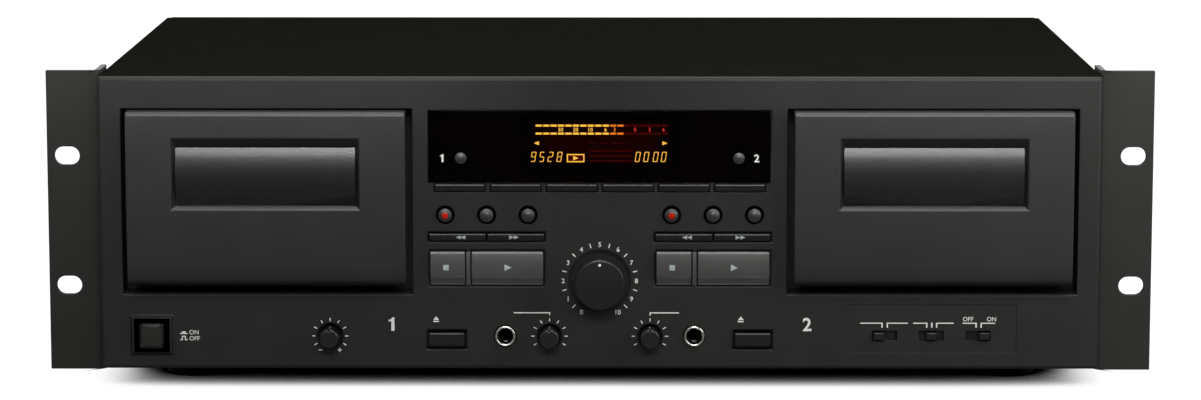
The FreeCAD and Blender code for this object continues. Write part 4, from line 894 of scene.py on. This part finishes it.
socket_height, socket_pitch, rear_wall = 92.0, 18.0, 264.0
sleeve = [(-1.2, 3.0), (-1.2, 4.5), (0.1, 4.5), (0.1, 4.1), (9.7, 4.1), (9.9, 3.9), (9.9, 3.5),
          (9.7, 3.3), (2.0, 3.3), (2.0, 3.0), (-1.2, 3.0)]
insert = [(1.0, 0.0), (1.0, 3.25), (9.3, 3.25), (9.3, 1.6), (2.0, 1.6), (2.0, 0.0)]
base = [(-7.2, 0.0), (-7.2, 5.9), (-1.3, 5.9), (-1.3, 0.0)]
ring_plastic = {"left": moulded("white_ring_plastic", (0.55, 0.55, 0.52), rough=0.4),
                "right": moulded("red_ring_plastic", (0.42, 0.02, 0.015), rough=0.4)}
for column, channel in ((-1, "left"), (1, "right")):
    for row, use in ((-1, "in"), (1, "out")):
        across = socket_side + column * socket_pitch / 2
        up = socket_height + row * socket_pitch / 2
        for part, profile, material in (("sleeve", sleeve, nickel), ("base", base, jack_body),
                                        ("ring", insert, ring_plastic[channel])):
            placed = [(rear_wall + depth, radius) for depth, radius in profile]
            piece = turned_piece(f"line_{use}_{channel}_{part}", placed, across, up, "housing",
                                 material, count=48)
            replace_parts(piece, "line_sockets")

inlet_height, blade_side, blade_foot, blade_tip = 34.0, 7.0, 248.05, 258
zoned(eased("ac_inlet", "inlet", jack_body, 0.3,
            across=(inlet_side, inlet_side - blade_side, inlet_side + blade_side),
            up=(inlet_height - 0.2 * blade_side, inlet_height + 0.35 * blade_side)),
      [(nickel, lambda x, y, z: abs(x - inlet_side) < 9 and abs(z - inlet_height) < 5.5
        and blade_foot < y < blade_tip)])

# Circuit boards: green glass epoxy with black component bodies.  The front boards hang on the
# panel's posts behind the keys; the main board lies on standoffs over the floor of the tray.

epoxy, tree, skin = skin_of("circuit_board", Specular_IOR_Level=0.5)
place = mottled(tree, skin, (0.012, 0.055, 0.020), 0.12, 70, 0.35, 0.05)
tracks = shader(tree, "ShaderNodeTexBrick", {"Vector": place}, Scale=420.0, Mortar_Size=0.03)
relief = shader(tree, "ShaderNodeBump", {"Height": tracks.outputs["Fac"]}, Strength=0.3,
                Distance=0.00004)
tree.links.new(relief.outputs["Normal"], skin.inputs["Normal"])
component = moulded("component_plastic", (0.014, 0.014, 0.015), rough=0.4, gloss=0.4)
can_sleeve = moulded("can_sleeve", (0.010, 0.014, 0.045), rough=0.3, gloss=0.5)
raw_alloy = plated("raw_alloy", (0.60, 0.61, 0.62), 0.35)
tube_glass = moulded("tube_glass", (0.006, 0.006, 0.007), rough=0.12, gloss=0.5, strength=0.0)
board_face, board_back = 11.9, 13.7
zoned(eased("control_boards", "board", epoxy, 0.1, across=hole_middles),
      [(tube_glass, lambda x, y, z: y < board_face and abs(x) < 34 and 86 < z < 112),
       (component, lambda x, y, z: not board_face < y < board_back)])
board_top, can_high, power_end = 12.6, 21.9, 195
zoned(eased("main_board", "board", epoxy, 0.2, across=(35.0,)),
      [(can_sleeve, lambda x, y, z: board_top < z < board_top + can_high and y > power_end
        and not 18 < x < 82),
       (raw_alloy, lambda x, y, z: z > board_top + 0.1 and y > power_end),
       (component, lambda x, y, z: z > board_top + 0.1)])

# Mains transformer: a stack of thin steel plates with its winding under yellow tape, clamped
# to the floor of the tray by the plates' own long foot.

steel_stack, tree, skin = skin_of("steel_stack", Metallic=0.85, Specular_IOR_Level=0.4)
place = mottled(tree, skin, (0.22, 0.21, 0.20), 0.08, 60, 0.42, 0.05)
plates = shader(tree, "ShaderNodeTexWave", {"Vector": place}, bands_direction="Y", Scale=320.0)
relief = shader(tree, "ShaderNodeBump", {"Height": plates.outputs["Fac"]}, Strength=0.5,
                Distance=0.0001)
tree.links.new(relief.outputs["Normal"], skin.inputs["Normal"])
tape = moulded("winding_tape", (0.45, 0.30, 0.05), rough=0.35, gloss=0.4)
core_side, core_middle, core_half = -150.0, 150.0, 17.1
zoned(eased("power_transformer", "core", steel_stack, 0.4, across=(core_side,)),
      [(tape, lambda x, y, z: not core_middle - core_half < y < core_middle + core_half)])

# Printing: pale ink on the panel, plain numbers on the dial and the usual signs on the keys.
# Each sign on a moving part is printed on that part's own face and travels with it.

ink = moulded("pale_ink", (0.72, 0.72, 0.69), rough=0.6, gloss=0.15, strength=0.1)
key_ink = moulded("key_ink", (0.42, 0.47, 0.45), rough=0.5, gloss=0.15, strength=0.1)
red_ink = moulded("red_ink", (0.42, 0.012, 0.004), rough=0.5, gloss=0.1, strength=0.1)
film_depth = -0.035


def spoke(across, up, turn, inner, outer, wide):
    """Tick that points away from a dial's middle; turn is in degrees from straight up."""
    way = np.array([math.sin(math.radians(turn)), math.cos(math.radians(turn))])
    aside = np.array([-way[1], way[0]]) * wide / 2
    middle = np.array([across, up])
    return flat_shape(middle + way * inner - aside, middle + way * outer - aside,
                      middle + way * outer + aside, middle + way * inner + aside)


def arrow(across, up, wide, high):
    """Triangle that points to the right, or to the left where wide is below nothing."""
    corners = [(across - wide / 2, up - high / 2), (across + wide / 2, up),
               (across - wide / 2, up + high / 2)]
    return flat_shape(*(corners if wide > 0 else corners[::-1]))


def face_of(node, shape):
    """Depth just before a key's bowed face, as a function of height."""
    low, high = measured(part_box(node))
    return lambda height: low[1] - 0.04 + bow(
        (2 * height - low[2] - high[2]) / (high[2] - low[2]), **shape)


def one(across, up, high):
    """Plain figure one: a stem with a flag that falls away to the left at its head."""
    outline = np.array([(-0.12, -0.5), (0.12, -0.5), (0.12, 0.5), (-0.048, 0.5), (-0.132, 0.38),
                        (-0.312, 0.32), (-0.312, 0.19), (-0.12, 0.22)])
    return flat_shape(*(outline * high + (across, up)))


number_ring, knob_height = 15.95, 14.5
dial_marks = []
for step in range(21):
    turn = -150 + 15 * step
    if step % 2:
        dial_marks.append(spoke(0, level_height, turn, 14.95, 16.9, 0.45))
    else:
        across = number_ring * math.sin(math.radians(turn))
        up = level_height + number_ring * math.cos(math.radians(turn))
        dial_marks.append(letters(str(step // 2), across, up, 2.1, 0.012))
for side in (pitch_knob_side, -small_knob_side, small_knob_side):
    dial_marks += [spoke(side, knob_height, turn, 6.5, 8.0, 0.42) for turn in range(-120, 121, 30)]
layer("dial_print", dial_marks, film_depth, "housing", ink)

deck_height, deck_high, reset_high, window_depth = 19.75, 5.9, 3.5, -0.44
deck_marks = [one(-90.3, deck_height, deck_high),
              letters("2", 90.4, deck_height, deck_high, 0.02)]
for across in (-71.4, 61.5):
    deck_marks += [bar(across - 1.3, 20.75, across + 1.3, 21.25),
                   flat_shape((across - 1.3, 21.65), (across + 1.3, 21.65), (across, 23.3))]
layer("deck_print", deck_marks, film_depth, "housing", ink)
layer("reset_print", [one(-68.2, reset_height, reset_high),
                      letters("2", 68.05, reset_height, reset_high, 0.02)],
      window_depth, "housing", ink)

jack_lines = [(-37.5, 24.6, -21.6, 25.1), (-22.1, 23.7, -21.6, 24.6), (21.75, 24.6, 34.6, 25.1),
              (21.75, 23.7, 22.25, 24.6)]
pitch_signs = [(-122.9, 8.1, -121.1, 8.5), (-114.5, 8.1, -112.7, 8.5), (-113.8, 7.4, -113.4, 8.1),
               (-113.8, 8.5, -113.4, 9.2)]
pressed_sign = [(-183.3, 15.3, -180.0, 15.75), (-182.5, 15.75, -180.8, 16.5)]
raised_sign = [(-183.3, 12.55, -182.1, 13.0), (-181.2, 12.55, -180.0, 13.0),
               (-182.55, 13.0, -182.1, 14.1), (-181.2, 13.0, -180.75, 14.1),
               (-182.55, 14.1, -180.75, 14.5)]
track_foot, track_low, track_high, half_tick = 18.4, 20.15, 20.6, 0.3
tracks = [(door_side - 0.1, track_foot, door_side + 0.5, track_high)]
for left, drop, right in ((113.5, 123.1, 123.4), (125.1, 125.4, 134.3), (136.6, 142.6, 142.9),
                          (146.6, 146.9, 154.3), (158.2, 164.1, 164.4), (166.0, 166.3, 172.4)):
    tracks += [(left, track_low, right, track_high),
               (drop - half_tick, track_foot, drop + half_tick, track_low)]
control_marks = [bar(*corners) for corners in
                 jack_lines + pitch_signs + pressed_sign + raised_sign + tracks]
control_marks += [letters(text, x, z, 1.9, 0.008, anchor) for text, x, z, anchor in
                  (("OFF", 160.6, 22.2, 0.5), ("ON", 170.8, 22.2, 0.5),
                   ("ON", -179.2, 16.1, 0.0), ("OFF", -179.2, 13.4, 0.0))]
layer("control_print", control_marks, film_depth, "housing", ink)

dot_radius = 1.4
for deck, group in groups:
    node = f"stop_key_{deck}"
    layer(f"stop_sign_{deck}", [bar(group - 18.9, 43.95, group - 16.5, 46.35)],
          face_of(node, wide_bow), node, key_ink)
    node = f"play_key_{deck}"
    layer(f"play_sign_{deck}", [arrow(group + 9.3, 45.15, 3.0, 3.0)],
          face_of(node, wide_bow), node, key_ink)
    for name, middle, wide in (("rewind", -11.3, -2.2), ("fast_forward", 11.95, 2.2)):
        node = f"{name}_key_{deck}"
        layer(f"{name}_sign_{deck}",
              [arrow(group + middle + shift, 58.3, wide, 1.9) for shift in (-1.05, 1.05)],
              face_of(node, wind_bow), node, key_ink)
    node = f"record_button_{deck}"
    dot = [(cap_face - 0.04 - cap_dome * (1 - (radius / (cap_radius - roll)) ** 2), radius)
           for radius in np.linspace(0, dot_radius, 6)]
    turned_piece(f"record_dot_{deck}", dot + [(-1.3, dot_radius), (-1.3, 0)],
                 group - round_pitch, round_height, node, red_ink, count=32)
dot_profile = [(-12.49, 0), (-12.49, 0.6), (-12.46, 0.66), (-12.3, 0.66), (-12.3, 0)]
turned_piece("level_dot", dot_profile, 0, level_height + 8.76, "rec_level_knob", ink,
             count=24)
